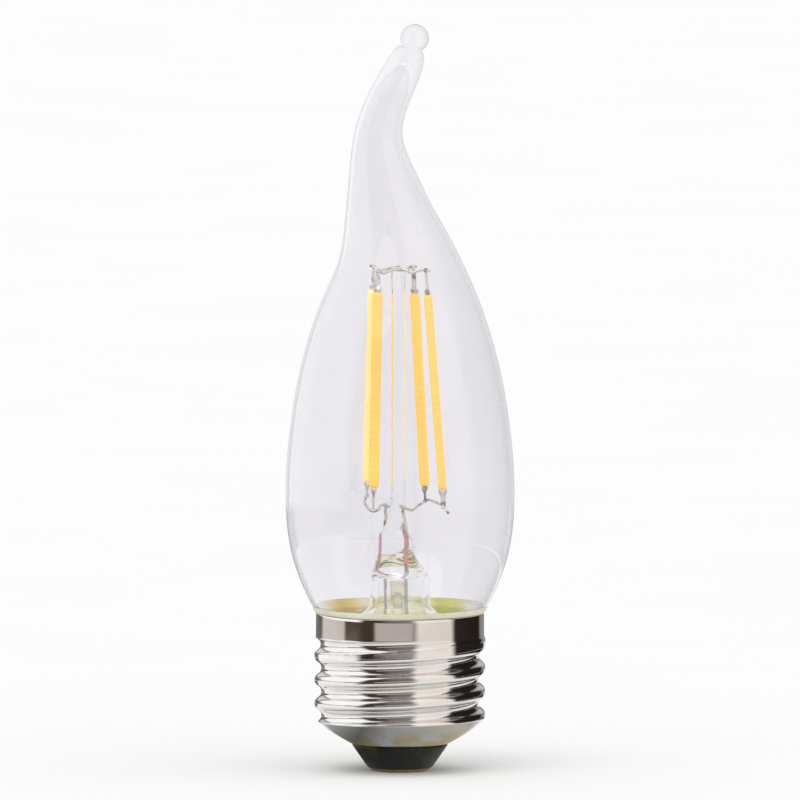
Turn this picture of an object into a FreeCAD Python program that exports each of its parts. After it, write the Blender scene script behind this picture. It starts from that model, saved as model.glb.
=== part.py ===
# Candle bulb with a bent tip on a medium screw base.
#
# A clear blown envelope, drawn out to a curved tail, holds a glass stem. The stem
# carries four lit filaments between nickel wires, and two lead wires pass through
# its press to a small driver board inside the rolled screw shell.
#
# Frame: millimetres, +Z up along the cap axis, +X the side that the tip bends to.
# The origin is the middle of the centre contact's bottom face.

import FreeCAD
import Part
import Sketcher
import math
import os
import re

V = FreeCAD.Vector
Z_AXIS = V(0, 0, 1)

doc = FreeCAD.newDocument("candle_bulb")

# Driving sizes

SIZES = {
    "clearance": 0.05,  # gap left where one piece rests against another
    # Screw shell: a medium base, thread of seven turns to the inch
    "crest_radius": 13.1,
    "thread_pitch": 3.629,
    "thread_depth": 1.05,
    "thread_turns": 3,
    "thread_start": 6.64,  # height of the lowest groove at angle zero
    "runout_turns": 0.75,  # part of a turn in which the groove fades out
    "runout_growth": 1.45,  # how far the groove moves outwards in a full turn
    "groove_flat": 0.3,  # half the width of the groove's flat root
    "bend_angle": 34,  # slope of the bends at the root and the crest
    "flank_angle": 50,  # slope of the flank between the bends
    "shell_wall": 0.3,
    "lip_radius": 7.4,
    "lip_height": 4.1,
    "cone_height": 3.95,  # from the lip to where the cone meets the crest radius
    "collar_draw": 0.2,  # how far the plain collar lies under the crests
    "collar_foot": 20.2,  # where the crests end
    "collar_bend": 0.3,  # height over which the sheet draws in to the collar
    "collar_height": 24.3,  # top of the shell

    # Foot of the cap
    "insulator_foot_radius": 4.75,
    "insulator_foot_height": 0.4,
    "insulator_depth": 1.8,  # how far the insulator reaches up inside the shell
    "contact_radius": 4.6,
    "contact_flat_radius": 3.9,
    "contact_thickness": 0.9,
    "eyelet_radius": 1.3,
    "eyelet_wall": 0.4,
    "eyelet_length": 2.1,
    "dimple_radius": 1.6,
    "dimple_depth": 0.5,
    "solder_recess": 0.12,
    "solder_height": 0.3,


    # Glass envelope. Its bowl is turned from a chain of arcs, and each corner of the
    # chain rises from the one below it. A curve is the radius of the arc that ends at
    # the corner, minus where it is hollow. The wall is the same all the way up.
    "glass_wall": 0.8,
    "neck_length": 8.5,
    "neck_taper": 0.4,
    "throat_rise": 2.0,
    "throat_flare": 0.8,
    "rim_gap": 0.1,  # between the glass and the collar, level with the rim
    "throat_curve": -2.69,
    "shoulder_rise": 2.1,
    "shoulder_radius": 14.2,
    "shoulder_curve": 4.77,
    "flank_rise": 6.6,
    "flank_radius": 16.5,
    "flank_curve": 250,
    "hip_rise": 5.0,
    "hip_radius": 17.45,
    "hip_curve": 19.2,
    "belly_rise": 6.0,
    "belly_radius": 17.6,
    "belly_curve": 95.6,
    "chest_rise": 16.0,
    "chest_radius": 15.75,
    "chest_curve": 74.5,
    "bowl_top_rise": 13.4,
    "bowl_top_radius": 11.75,
    "bowl_top_curve": 105.5,

    # The tail goes on from the bowl in circles, each leaning along X.
    "bowl_top_lean": 0,
    "tail_root_rise": 6.6,
    "tail_root_radius": 9.05,
    "tail_root_lean": -0.64,
    "tail_low_rise": 6.1,
    "tail_low_radius": 6.95,
    "tail_low_lean": -1.85,
    "tail_lean_rise": 6.2,
    "tail_lean_radius": 5.1,
    "tail_lean_lean": -2.95,
    "tail_bow_rise": 6.1,
    "tail_bow_radius": 3.8,
    "tail_bow_lean": -3.3,
    "tail_neck_rise": 6.2,
    "tail_neck_radius": 3.05,
    "tail_neck_lean": -1.5,
    "tail_end_rise": 6.5,
    "tail_end_radius": 1.8,
    "tail_end_lean": 1.95,
    "cavity_cap_rise": 3.6,  # from the last hollow station to the top of the hollow
    "cavity_cap_radius": 1.1,
    "cavity_cap_lean": 0.4,
    "bead_radius": 2.15,  # solid bead that ends the tail
    "bead_rise": 1.6,
    "bead_lean": 2.25,

    # Stem: flare, press, exhaust tube and column
    "flare_tube_radius": 4.5,
    "flare_wall": 1.0,
    "flare_height": 16.2,  # from the neck's end to the press
    "flare_straight": 4,  # length of the plain tube above the trumpet
    "flare_bend_rise": 5.5,  # from the skirt up to the bend in the trumpet
    "flare_bend_radius": 6.2,
    "skirt_rise": 1.4,  # from the neck's end to the foot of the trumpet
    "flange_thickness": 0.8,
    "press_angle": -41.3,  # turn of the press about the vertical
    "press_centre": -0.75,
    "press_width": 6.6,
    "press_thickness": 3.8,
    "press_height": 5.8,
    "press_taper": 5.2,  # from the press to the column's foot
    "column_radius": 1.15,
    "column_centre": -0.3,
    "column_cap": 0.8,  # above the bridge wires
    "exhaust_radius": 1.4,
    "exhaust_bore": 0.8,
    "exhaust_length": 13.5,

    # Wires
    "lead_radius": 0.25,
    "seal_radius": 0.3,
    "cross_wire_radius": 0.22,
    "lead_spread": 2.2,  # from the press's middle to each seal wire
    "seal_rise": 1.7,  # from the foot of the press
    "seal_length": 4.5,
    "cross_wire_rise": 4.8,  # from the top of the press
    "bridge_rise": 3.2,  # from the filaments' heads
    "bridge_overhang": 0.8,  # how far a bridge passes each pin
    "bridge_offset": 0.5,  # from the column's middle to each bridge wire

    # Filaments: their feet stand on a wide circle and their heads on a narrow one
    "foot_circle": 7.2,
    "head_circle": 5.2,
    "head_shift": -0.5,  # how far the upper circle's middle lies along X
    "filament_rise": 2.8,  # from the cross wires
    "filament_length": 30.2,
    "filament_width": 1.7,
    "filament_thickness": 1.2,
    "pin_width": 0.9,
    "pin_thickness": 0.3,

    # Driver in the cap
    "board_radius": 10.6,
    "board_thickness": 1,
    "capacitor_radius": 2.5,
    "capacitor_length": 7.5,
    "resistor_radius": 1.3,
    "resistor_length": 7,
    "chip_height": 1.5,
    "chip_width": 4.9,
    "chip_depth": 3.9,
    "rectifier_height": 2.2,
    "rectifier_width": 4,
    "rectifier_depth": 4.7,
    "leg_thickness": 0.25,
    "leg_width": 0.5,
    "leg_reach": 0.9,
    "contact_wire_radius": 0.3,
    "cement_height": 2.6,
    "cement_drop": 0.4,  # from the rim down to the cement
}
BOWL = ["neck", "throat", "shoulder", "flank", "hip", "belly", "chest", "bowl_top"]
TAIL = ["bowl_top", "tail_root", "tail_low", "tail_lean", "tail_bow", "tail_neck", "tail_end"]
CAVITY_TOP = "tail_neck"

# What fits in or seats on another piece follows from it
FOLLOWING = {
    "collar_radius": "=crest_radius - collar_draw",
    "throat_radius": "=collar_radius - shell_wall - rim_gap",
    "throat_height": "=collar_height",
    "neck_radius": "=throat_radius - throat_flare",
    "neck_height": "=throat_height - throat_rise",
    "neck_end_radius": "=neck_radius - neck_taper",
    "neck_end_height": "=neck_height - neck_length",
    "flare_top": "=neck_end_height + flare_height",
    "seal_foot": "=flare_top + seal_rise",
    "press_top": "=flare_top + press_height",
    "column_foot": "=press_top + press_taper",
    "cross_wire_height": "=press_top + cross_wire_rise",
    "filament_foot": "=cross_wire_height + filament_rise",
    "bridge_height": "=filament_foot + filament_length + bridge_rise",
    "column_top": "=bridge_height + column_cap",
}
for below, name in zip(BOWL[1:] + TAIL[1:], BOWL[2:] + TAIL[1:]):
    FOLLOWING[name + "_height"] = "=%s_height + %s_rise" % (below, name)

sizes = doc.addObject("Spreadsheet::Sheet", "sizes")
aliases = set()
for row, (name, content) in enumerate({**SIZES, **FOLLOWING}.items(), 1):
    sizes.set("A%d" % row, name.replace("_", " "))
    sizes.set("B%d" % row, str(content))
    sizes.setAlias("B%d" % row, name)
    aliases.add(name)
doc.recompute()

# Small helpers


def sheet(text):
    """Point every size named in an expression at the sheet."""
    def named(word):
        return "sizes." + word[0] if word[0] in aliases else word[0]
    return re.sub(r"[a-z_]+", named, str(text))


def value(text):
    """The present value of an expression, in millimetres or degrees."""
    found = sizes.evalExpression(sheet(text))
    return float(getattr(found, "Value", found))


def bind(item, **expressions):
    """Drive properties by expressions, with two underscores for a dot."""
    for name, text in expressions.items():
        item.setExpression(name.replace("__", "."), sheet(text))
    return item


def add(kind, name, label=None, **expressions):
    """A new object in the document with its driven properties."""
    item = doc.addObject(kind, name)
    item.Label = label or name
    return bind(item, **expressions)


def outline(sketch, points, arcs):
    """Closed outline through points given as pairs of expressions.

    arcs maps the number of an edge to the expression of its radius. A minus sign
    before the radius bends the edge to the other side. All is fully constrained.
    """
    places = [V(value(x), value(y), 0) for x, y in points]
    ends = []
    for number, start in enumerate(places):
        end = places[(number + 1) % len(places)]
        if number not in arcs:
            sketch.addGeometry(Part.LineSegment(start, end), False)
            ends.append((1, 2))
            continue
        radius = value(arcs[number])
        chord = end - start
        side = V(-chord.y, chord.x, 0).normalize() * math.copysign(1, radius)
        centre = (start + end) * 0.5 + side * math.sqrt(radius ** 2 - (chord.Length / 2) ** 2)
        first, last = (start, end) if radius > 0 else (end, start)
        angles = [math.atan2(p.y - centre.y, p.x - centre.x) for p in (first, last)]
        circle = Part.Circle(centre, V(0, 0, 1), abs(radius))
        sketch.addGeometry(Part.ArcOfCircle(circle, angles[0], angles[1]), False)
        ends.append((1, 2) if radius > 0 else (2, 1))
    for number in range(len(places)):
        after = (number + 1) % len(places)
        joined = Sketcher.Constraint("Coincident", number, ends[number][1], after, ends[after][0])
        sketch.addConstraint(joined)
    for number, (x, y) in enumerate(points):
        for kind, text in (("DistanceX", x), ("DistanceY", y)):
            rule = Sketcher.Constraint(kind, number, ends[number][0], value(text))
            bind(sketch, **{"Constraints[%d]" % sketch.addConstraint(rule): text})
    for number, text in arcs.items():
        rule = Sketcher.Constraint("Radius", number, abs(value(text)))
        bind(sketch, **{"Constraints[%d]" % sketch.addConstraint(rule): "abs(%s)" % text})


def body_sketch(body, role, name, points, arcs=None):
    """A sketch on one of the body's own origin planes."""
    sketch = body.newObject("Sketcher::SketchObject", name)
    plane = [item for item in body.Origin.OriginFeatures if item.Role == role][0]
    sketch.AttachmentSupport = (plane, [""])
    sketch.MapMode = "FlatFace"
    outline(sketch, points, arcs or {})
    return sketch


def turned(name, points, arcs=None):
    """A body revolved about the cap axis from a half section."""
    body = doc.addObject("PartDesign::Body", name)
    body.Label = name
    sketch = body_sketch(body, "XZ_Plane", name + "_section", points, arcs)
    revolution = body.newObject("PartDesign::Revolution", name + "_turned")
    revolution.Profile = sketch
    revolution.ReferenceAxis = (sketch, ["V_Axis"])
    revolution.Angle = 360
    return body


def cut(name, base, tool):
    item = doc.addObject("Part::Cut", name)
    item.Label = name
    item.Base = base
    item.Tool = tool
    return item


def fuse(name, shapes):
    item = doc.addObject("Part::MultiFuse", name)
    item.Label = name
    item.Shapes = shapes
    return item


def loft(name, sections):
    item = doc.addObject("Part::Loft", name)
    item.Label = name
    item.Sections = sections
    item.Solid = True
    return item


def disc(name, radius, x, z, tilt="0"):
    """A circle across the glass, tipped about Y to stay square to its middle line."""
    item = add("Part::Circle", name, Radius=radius)
    item.Placement = FreeCAD.Placement(V(0, 0, 0), FreeCAD.Rotation(V(0, 1, 0), 1))
    return bind(item, Placement__Base__x=x, Placement__Base__z=z, Placement__Rotation__Angle=tilt)


def wire(name, radius, points):
    """A bent wire: a circle swept along straight stretches with mitred corners."""
    path = doc.addObject("Part::Feature", name + "_path")
    path.Shape = Part.makePolygon(points)
    section = add("Part::Circle", name + "_section", Radius=radius)
    section.Placement = FreeCAD.Placement(points[0], FreeCAD.Rotation(Z_AXIS, points[1] - points[0]))
    sweep = doc.addObject("Part::Sweep", name)
    sweep.Label = name
    sweep.Sections = [section]
    sweep.Spine = (path, ["Edge%d" % (number + 1) for number in range(len(points) - 1)])
    sweep.Solid = True
    sweep.Frenet = False
    sweep.Transition = "Right corner"
    return sweep


# Screw shell. Sheet metal rolled to a thread: the same groove cuts the outside and,
# grown by the wall, shapes the hollow inside.

CONE_SLOPE = "(crest_radius - lip_radius) / cone_height"
CONE_INSET = "shell_wall * sqrt(1 + (%s) ^ 2)" % CONE_SLOPE
CONE_INNER = "lip_radius - %s" % CONE_INSET


def groove(name, inset):
    """The swept groove, its full turns and the stretch in which it fades out.

    Its half section climbs from the flat root by a bend, the flank and a bend. An
    inset moves each corner along the bisector of the two sides that meet there.
    """
    root = "crest_radius - thread_depth"
    slopes = ["0", "bend_angle", "flank_angle", "bend_angle"]
    climbs = ["0.25 * thread_depth", "0.5 * thread_depth", "0.25 * thread_depth + 0.02"]
    x, z = root, "groove_flat"
    half = []
    for below, above, climb in zip(slopes, slopes[1:], climbs):
        lean = "(%s + %s) / 2" % (below, above)
        reach = "%s / cos((%s - %s) / 2)" % (inset, above, below)
        half.append(("%s - %s * cos(%s)" % (x, reach, lean), "%s + %s * sin(%s)" % (z, reach, lean)))
        x = "%s + %s" % (x, climb)
        z = "%s + (%s) / tan(%s)" % (z, climb, above)
    brim = "crest_radius - %s + 0.02" % inset
    half.append((brim, "%s + (%s - (%s)) / tan(bend_angle)" % (half[-1][1], brim, half[-1][0])))
    points = half + [(x, "-(%s)" % z) for x, z in reversed(half)]
    start = ("-90", "thread_start - thread_pitch / 4")
    fade = ("0", "thread_start + thread_turns * thread_pitch")
    runs = [("turns", start, "(thread_turns + 0.25) * thread_pitch", "0"),
            ("runout", fade, "runout_turns * thread_pitch", "atan(runout_growth / thread_pitch)")]
    made = []
    for part, (angle, low), rise, spread in runs:
        label = name + "_" + part
        section = doc.addObject("Sketcher::SketchObject", label + "_section")
        outline(section, points, {})
        stand = FreeCAD.Rotation(Z_AXIS, value(angle)).multiply(FreeCAD.Rotation(V(1, 0, 0), 90))
        section.Placement = FreeCAD.Placement(V(0, 0, 0), stand)
        bind(section, Placement__Base__z=low)
        helix = add("Part::Helix", label + "_helix", Pitch="thread_pitch", Height=rise,
                    Radius="crest_radius", Angle=spread)
        helix.Placement = FreeCAD.Placement(V(0, 0, 0), FreeCAD.Rotation(Z_AXIS, value(angle)))
        bind(helix, Placement__Base__z=low)
        sweep = doc.addObject("Part::Sweep", label)
        sweep.Sections = [section]
        sweep.Spine = (helix, ["Edge1"])
        sweep.Solid = True
        sweep.Frenet = True
        made.append(sweep)
    return made


def threaded(name, blank, inset):
    """Roll the groove into a turned blank."""
    turns, runout = groove(name, inset)
    return cut(name, cut(name + "_turned", blank, turns), runout)


shell_outside = turned("shell_outside", [
    ("0", "lip_height"), ("lip_radius", "lip_height"),
    ("crest_radius", "lip_height + cone_height"), ("crest_radius", "collar_foot"),
    ("collar_radius", "collar_foot + collar_bend"), ("collar_radius", "collar_height"),
    ("0", "collar_height")])
CONE_FOOT = "%s - (%s) * 1" % (CONE_INNER, CONE_SLOPE)
CONE_HEAD = "lip_height + (crest_radius - shell_wall - (%s)) / (%s)" % (CONE_INNER, CONE_SLOPE)
shell_inside = turned("shell_inside", [
    ("0", "lip_height - 1"), (CONE_FOOT, "lip_height - 1"),
    ("crest_radius - shell_wall", CONE_HEAD), ("crest_radius - shell_wall", "collar_foot"),
    ("collar_radius - shell_wall", "collar_foot + collar_bend"),
    ("collar_radius - shell_wall", "collar_height + 1"), ("0", "collar_height + 1")])
screw_shell = cut("screw_shell",
                  threaded("outer_thread", shell_outside, "0"),
                  threaded("inner_thread", shell_inside, "shell_wall"))

# Foot of the cap: black glass insulator, brass eyelet contact and its solder

EYELET_INNER = "eyelet_radius - eyelet_wall"
CONTACT_TOP = "contact_thickness"
insulator_top_radius = "%s + (%s) * insulator_depth" % (CONE_INNER, CONE_SLOPE)
turned("base_insulator", [
    ("eyelet_radius", CONTACT_TOP), ("contact_radius", CONTACT_TOP),
    ("contact_radius", "insulator_foot_height"), ("insulator_foot_radius", "insulator_foot_height"),
    ("lip_radius", "lip_height"), (CONE_INNER, "lip_height"),
    (insulator_top_radius, "lip_height + insulator_depth"),
    ("lip_radius - 1.5", "lip_height + insulator_depth"),
    ("eyelet_radius", "lip_height + insulator_depth - 0.7")])
turned("center_contact", [
    (EYELET_INNER, "dimple_depth"), ("dimple_radius", "0"), ("contact_flat_radius", "0"),
    ("contact_radius", "insulator_foot_height + 0.05"), ("contact_radius", CONTACT_TOP),
    ("eyelet_radius", CONTACT_TOP), ("eyelet_radius", CONTACT_TOP + " + eyelet_length"),
    (EYELET_INNER, CONTACT_TOP + " + eyelet_length")])
DIMPLE_AT_SOLDER = "dimple_radius - (dimple_radius - (%s)) * solder_recess / dimple_depth" % EYELET_INNER
turned("contact_solder", [
    ("0", "solder_recess"), (DIMPLE_AT_SOLDER, "solder_recess"), (EYELET_INNER, "dimple_depth"),
    (EYELET_INNER, "dimple_depth + solder_height"), ("0", "dimple_depth + solder_height")])

# Glass envelope: the turned bowl and the lofted tail, once for the outside and once
# for the hollow, and a bead melted on the tail's end


def bowl(name, inset, foot, curved):
    """The turned part of the glass, in by an inset and down to a foot."""
    points = [("0", foot), ("neck_end_radius - %s" % inset, foot)]
    arcs = {}
    for corner in BOWL:
        if curved and corner + "_curve" in SIZES:
            arcs[len(points) - 1] = corner + "_curve"
        points.append(("%s_radius - %s" % (corner, inset), corner + "_height"))
    return turned(name, points + [("0", points[-1][1])], arcs)


def station(name, number, radius):
    """A circle of the tail, square to the line through its neighbours."""
    low = TAIL[number - 1]
    high = TAIL[min(number + 1, len(TAIL) - 1)]
    tilt = "atan((%s_lean - %s_lean) / (%s_height - %s_height))" % (high, low, high, low)
    here = TAIL[number]
    return disc(name, radius, here + "_lean", here + "_height", tilt if number else "0")


skin = []
hollow = []
for number, name in enumerate(TAIL):
    skin.append(station("skin_" + name, number, name + "_radius"))
    if number <= TAIL.index(CAVITY_TOP):
        hollow.append(station("hollow_" + name, number, name + "_radius - glass_wall"))
hollow.append(disc("hollow_cap", "cavity_cap_radius", "cavity_cap_lean",
                   CAVITY_TOP + "_height + cavity_cap_rise", "25"))
bead = add("Part::Sphere", "bead", Radius="bead_radius", Placement__Base__x="bead_lean",
           Placement__Base__z="tail_end_height + bead_rise")
tail_hollow = loft("tail_hollow", hollow)
tail_hollow.Ruled = True
cut("glass_envelope",
    fuse("envelope_outside", [bowl("bowl_outside", "0", "neck_end_height", True),
                              loft("tail_skin", skin), bead]),
    fuse("envelope_inside", [bowl("bowl_inside", "glass_wall", "neck_end_height - 2", False),
                             tail_hollow]))

# Basing cement: the ring between the neck and the collar

CEMENT_TOP = "collar_height - cement_drop"
CEMENT_SLOPE = "(throat_radius - neck_radius) / throat_rise"
turned("basing_cement", [
    ("neck_radius + clearance", CEMENT_TOP + " - cement_height"),
    ("neck_radius + clearance", "neck_height"),
    ("neck_radius + clearance + (%s - neck_height) * %s" % (CEMENT_TOP, CEMENT_SLOPE), CEMENT_TOP),
    ("collar_radius - shell_wall", CEMENT_TOP),
    ("collar_radius - shell_wall", CEMENT_TOP + " - cement_height")])

# Filaments, each with a flat pin at either end

FILAMENTS = [
    # place, angle about the axis, height of the foot above the common one
    ("front_right", -25.5, -0.1),
    ("back_right", 58.0, -0.5),
    ("back_left", 134.6, 0.2),
    ("front_left", 236.3, 0.4),
]


def filament_line(angle, lift):
    """Foot and unit direction of one filament."""
    turn = math.radians(angle)
    low = V(math.cos(turn), math.sin(turn), 0) * value("foot_circle")
    top = V(math.cos(turn), math.sin(turn), 0) * value("head_circle") + V(value("head_shift"), 0, 0)
    foot = low + V(0, 0, value("filament_foot") + lift)
    return foot, (top - low + V(0, 0, value("filament_length"))).normalize()


def at_height(line, z):
    """The point of a filament's line at a height."""
    foot, along = line
    return foot + along * ((z - foot.z) / along.z)


def strip(name, width, thickness, length, place, rounded):
    """A straight strip along its own Z, with round or square long edges."""
    body = doc.addObject("PartDesign::Body", name)
    body.Label = name
    half = "(%s) / 2" % thickness
    wide = "(%s) / 2" % width
    if rounded:
        flat = "(%s - %s)" % (wide, half)
        points = [("-(%s)" % half, "-%s" % flat), (half, "-%s" % flat),
                  (half, flat), ("-(%s)" % half, flat)]
        arcs = {0: "(%s) * 1.0001" % half, 2: "(%s) * 1.0001" % half}
    else:
        points = [("-(%s)" % half, "-(%s)" % wide), (half, "-(%s)" % wide),
                  (half, wide), ("-(%s)" % half, wide)]
        arcs = {}
    sketch = body_sketch(body, "XY_Plane", name + "_section", points, arcs)
    pad = body.newObject("PartDesign::Pad", name + "_pad")
    pad.Profile = sketch
    bind(pad, Length=length)
    body.Placement = place
    return body


lines = {}
turns = {}
for number, (place, angle, lift) in enumerate(FILAMENTS, 1):
    foot, along = lines[place] = filament_line(angle, lift)
    turn = FreeCAD.Rotation(Z_AXIS, along).multiply(FreeCAD.Rotation(Z_AXIS, angle))
    turns[place] = turn
    strip("filament_%d" % number, "filament_width", "filament_thickness", "filament_length",
          FreeCAD.Placement(foot, turn), True)

# Wires above and below the filaments. Each passes just clear of the pins that are
# welded to it, and each bridge runs through the column's head.

REST = value("cross_wire_radius + 2 * clearance")
low_z = value("cross_wire_height")
top_z = value("bridge_height")
pin_low = {"front_right": low_z + 0.1, "back_right": low_z + 0.2,
           "back_left": low_z + 1.0, "front_left": low_z - 0.1}
low_at = {place: at_height(lines[place], pin_low[place]) for place in lines}
top_at = {place: at_height(lines[place], top_z + 0.2) for place in lines}
for number, (place, (foot, along)) in enumerate(lines.items(), 1):
    turn = turns[place]
    low_end = low_at[place] + along * (REST / along.z)
    head = foot + along * value("filament_length")
    high_end = top_at[place] - along * (REST / along.z)
    for name, start, end in (("lower_pin_%d", low_end, foot), ("upper_pin_%d", head, high_end)):
        strip(name % number, "pin_width", "pin_thickness", str((end - start).Length),
              FreeCAD.Placement(start, turn), False)

middle = V(value("column_centre"), 0, top_z)
aside = V(0, value("bridge_offset"), 0)
beyond = value("bridge_overhang")
for name, left, right, hand in (("front", "front_left", "front_right", -1),
                                ("back", "back_left", "back_right", 1)):
    start, end = top_at[left], top_at[right]
    centre = middle + aside * hand
    outwards = (start - centre).normalize() * beyond
    onwards = (end - centre).normalize() * beyond
    wire("upper_bridge_wire_" + name, "cross_wire_radius", [
        start + outwards, start, (start + centre) * 0.5 - V(0, 0, 0.35), centre,
        (end + centre) * 0.5 - V(0, 0, 0.3), end, end + onwards])

# Leads: copper-clad seal wires in the press, nickel leads above and below them

turn = math.radians(value("press_angle"))
spread = V(math.cos(turn), math.sin(turn), 0) * value("lead_spread")
press_at = V(value("press_centre"), 0, 0)
SIDES = {"right": press_at + spread, "left": press_at - spread}
seal_low = V(0, 0, value("seal_foot"))
seal_top = seal_low + V(0, 0, value("seal_length"))
lead_top = V(0, 0, low_z - value("cross_wire_radius + lead_radius"))
CONE_AT_BOARD = "board_radius + clearance - (%s)" % CONE_INNER
BOARD_FOOT = "lip_height + (%s) / (%s)" % (CONE_AT_BOARD, CONE_SLOPE)
BOARD_TOP = BOARD_FOOT + " + board_thickness"
board_top = V(0, 0, value(BOARD_TOP))
HEADS = {"right": V(0.5, -1.35, 0), "left": V(-2.2, 1.35, 0)}
FEET = {"right": V(3.2, -4.0, 0), "left": V(-4.0, 4.2, 0)}
rim = V(0, 0, value("collar_height"))
in_glass = []
for side, place in SIDES.items():
    seal = add("Part::Cylinder", "seal_wire_" + side, Radius="seal_radius", Height="seal_length")
    seal.Placement.Base = place + seal_low
    inner = wire("inner_lead_" + side, "lead_radius", [
        place + seal_top + V(0, 0, value("clearance")), place + seal_top + V(0, 0, 1),
        place * 0.4 + HEADS[side] * 0.6 + seal_top + V(0, 0, 2.4),
        HEADS[side] + lead_top])
    outer = wire("outer_lead_" + side, "lead_radius", [
        place + seal_low, place + seal_low - V(0, 0, 1.5), place + rim - V(0, 0, 0.3),
        (place + seal_low + FEET[side] + board_top) * 0.5 - V(0, 0, 3.7),
        FEET[side] + board_top + V(0, 0, 2),
        FEET[side] + board_top + V(0, 0, value("clearance"))])
    in_glass += [seal, inner, outer]


def at(point, x, y, z):
    return point + V(x, y, z)


right = HEADS["right"] + V(0, 0, low_z)
wire("lower_cross_wire_right", "cross_wire_radius", [
    at(right, -0.3, -0.6, 0), right, at(right, 1.4, 2.2, -0.4),
    at(low_at["back_right"], -0.9, -1.4, -0.3), low_at["back_right"], at(low_at["back_right"], 0.9, -1.2, 0.1),
    (low_at["front_right"] + low_at["back_right"]) * 0.5 + V(0.5, 0, 0), low_at["front_right"],
    at(low_at["front_right"], 0.5, -0.7, -0.6)])
left = HEADS["left"] + V(0, 0, low_z)
wire("lower_cross_wire_left", "cross_wire_radius", [
    at(left, 0.4, 0.5, -0.1), left, at(left, -0.8, -3.2, 0.3),
    at(low_at["front_left"], 0.7, 1.0, 0.2), low_at["front_left"], at(low_at["front_left"], -0.9, 1.0, 0.2),
    (low_at["back_left"] + low_at["front_left"]) * 0.5 - V(0.7, 0, 0), low_at["back_left"],
    at(low_at["back_left"], 0.3, 0.8, 0.1)])

# Stem: trumpet and plain tube turned in one, then the press lofted from round to
# flat and up to the column's foot. The wires it holds are cut from it.

FLARE_INNER = "flare_tube_radius - flare_wall"
SKIRT = "neck_end_radius - glass_wall - clearance"
flare = turned("flare", [
    (FLARE_INNER, "flare_top"), ("flare_tube_radius", "flare_top"),
    ("flare_tube_radius", "flare_top - flare_straight"),
    ("flare_bend_radius", "neck_end_height + skirt_rise + flare_bend_rise"),
    (SKIRT, "neck_end_height + skirt_rise"),
    (SKIRT, "neck_end_height"), ("neck_end_radius", "neck_end_height"),
    ("neck_end_radius", "neck_end_height - flange_thickness"),
    (SKIRT + " - flare_wall", "neck_end_height - flange_thickness"),
    (SKIRT + " - flare_wall", "neck_end_height + skirt_rise - flare_wall / 2"),
    ("flare_bend_radius - flare_wall", "neck_end_height + skirt_rise + flare_bend_rise - flare_wall / 2"),
    (FLARE_INNER, "flare_top - flare_straight - flare_wall / 4")])


def press_section(name, width, thickness, x, z):
    """An oval across the press, turned with it."""
    item = add("Part::Ellipse", name, MajorRadius=width, MinorRadius=thickness)
    item.Placement = FreeCAD.Placement(V(0, 0, 0), FreeCAD.Rotation(Z_AXIS, value("press_angle")))
    return bind(item, Placement__Base__x=x, Placement__Base__z=z)


RISE = "(press_top - flare_top)"
TAPER = "(column_foot - press_top)"
press = loft("press", [
    press_section("press_root", "flare_tube_radius", "flare_tube_radius", "0", "flare_top"),
    press_section("press_low", "press_width / 2", "press_thickness / 2", "press_centre",
                  "flare_top + %s * 0.55" % RISE),
    press_section("press_high", "press_width * 0.47", "press_thickness * 0.46", "press_centre", "press_top"),
    press_section("press_waist", "column_radius * 1.15", "column_radius * 1.15", "press_centre * 0.9",
                  "press_top + %s * 0.45" % TAPER),
    press_section("press_tip", "column_radius", "column_radius", "column_centre", "column_foot")])
press.Ruled = True
cut("stem_flare", fuse("stem_blank", [flare, press]), fuse("stem_wires", in_glass))

column_blank = turned("column_blank", [
    ("0", "column_foot"), ("column_radius", "column_foot"),
    ("column_radius", "column_top - column_radius / 2"),
    ("column_radius / 2", "column_top"), ("0", "column_top")])
bind(column_blank, Placement__Base__x="column_centre")
bridges = fuse("bridge_wires", [doc.getObject("upper_bridge_wire_front"),
                                doc.getObject("upper_bridge_wire_back")])
cut("support_column", column_blank, bridges)

# Exhaust tube, narrowed and closed where it was sealed off

exhaust = turned("exhaust_tube", [
    ("exhaust_bore", "flare_top"), ("exhaust_radius", "flare_top"),
    ("exhaust_radius", "flare_top - exhaust_length + exhaust_radius"),
    ("exhaust_radius / 2", "flare_top - exhaust_length"), ("0", "flare_top - exhaust_length"),
    ("0", "flare_top - exhaust_length + 1.5"),
    ("exhaust_bore", "flare_top - exhaust_length + 1.5 + exhaust_bore")])
bind(exhaust, Placement__Base__x="column_centre")

# Driver: a round board that rests on the shell's cone, with its parts on top

board = add("Part::Cylinder", "driver_board", Radius="board_radius", Height="board_thickness",
            Placement__Base__z=BOARD_FOOT)
capacitor = add("Part::Cylinder", "smoothing_capacitor", Radius="capacitor_radius",
                Height="capacitor_length")
capacitor.Placement = FreeCAD.Placement(V(5.8, -2.2, 0), FreeCAD.Rotation(V(1, 0, 0), -90))
bind(capacitor, Placement__Base__z=BOARD_TOP + " + capacitor_radius + clearance")
resistor = add("Part::Cylinder", "fusible_resistor", Radius="resistor_radius", Height="resistor_length")
resistor.Placement = FreeCAD.Placement(V(-4, 7.2, 0), FreeCAD.Rotation(V(0, 1, 0), 90))
bind(resistor, Placement__Base__z=BOARD_TOP + " + resistor_radius + clearance")


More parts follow.
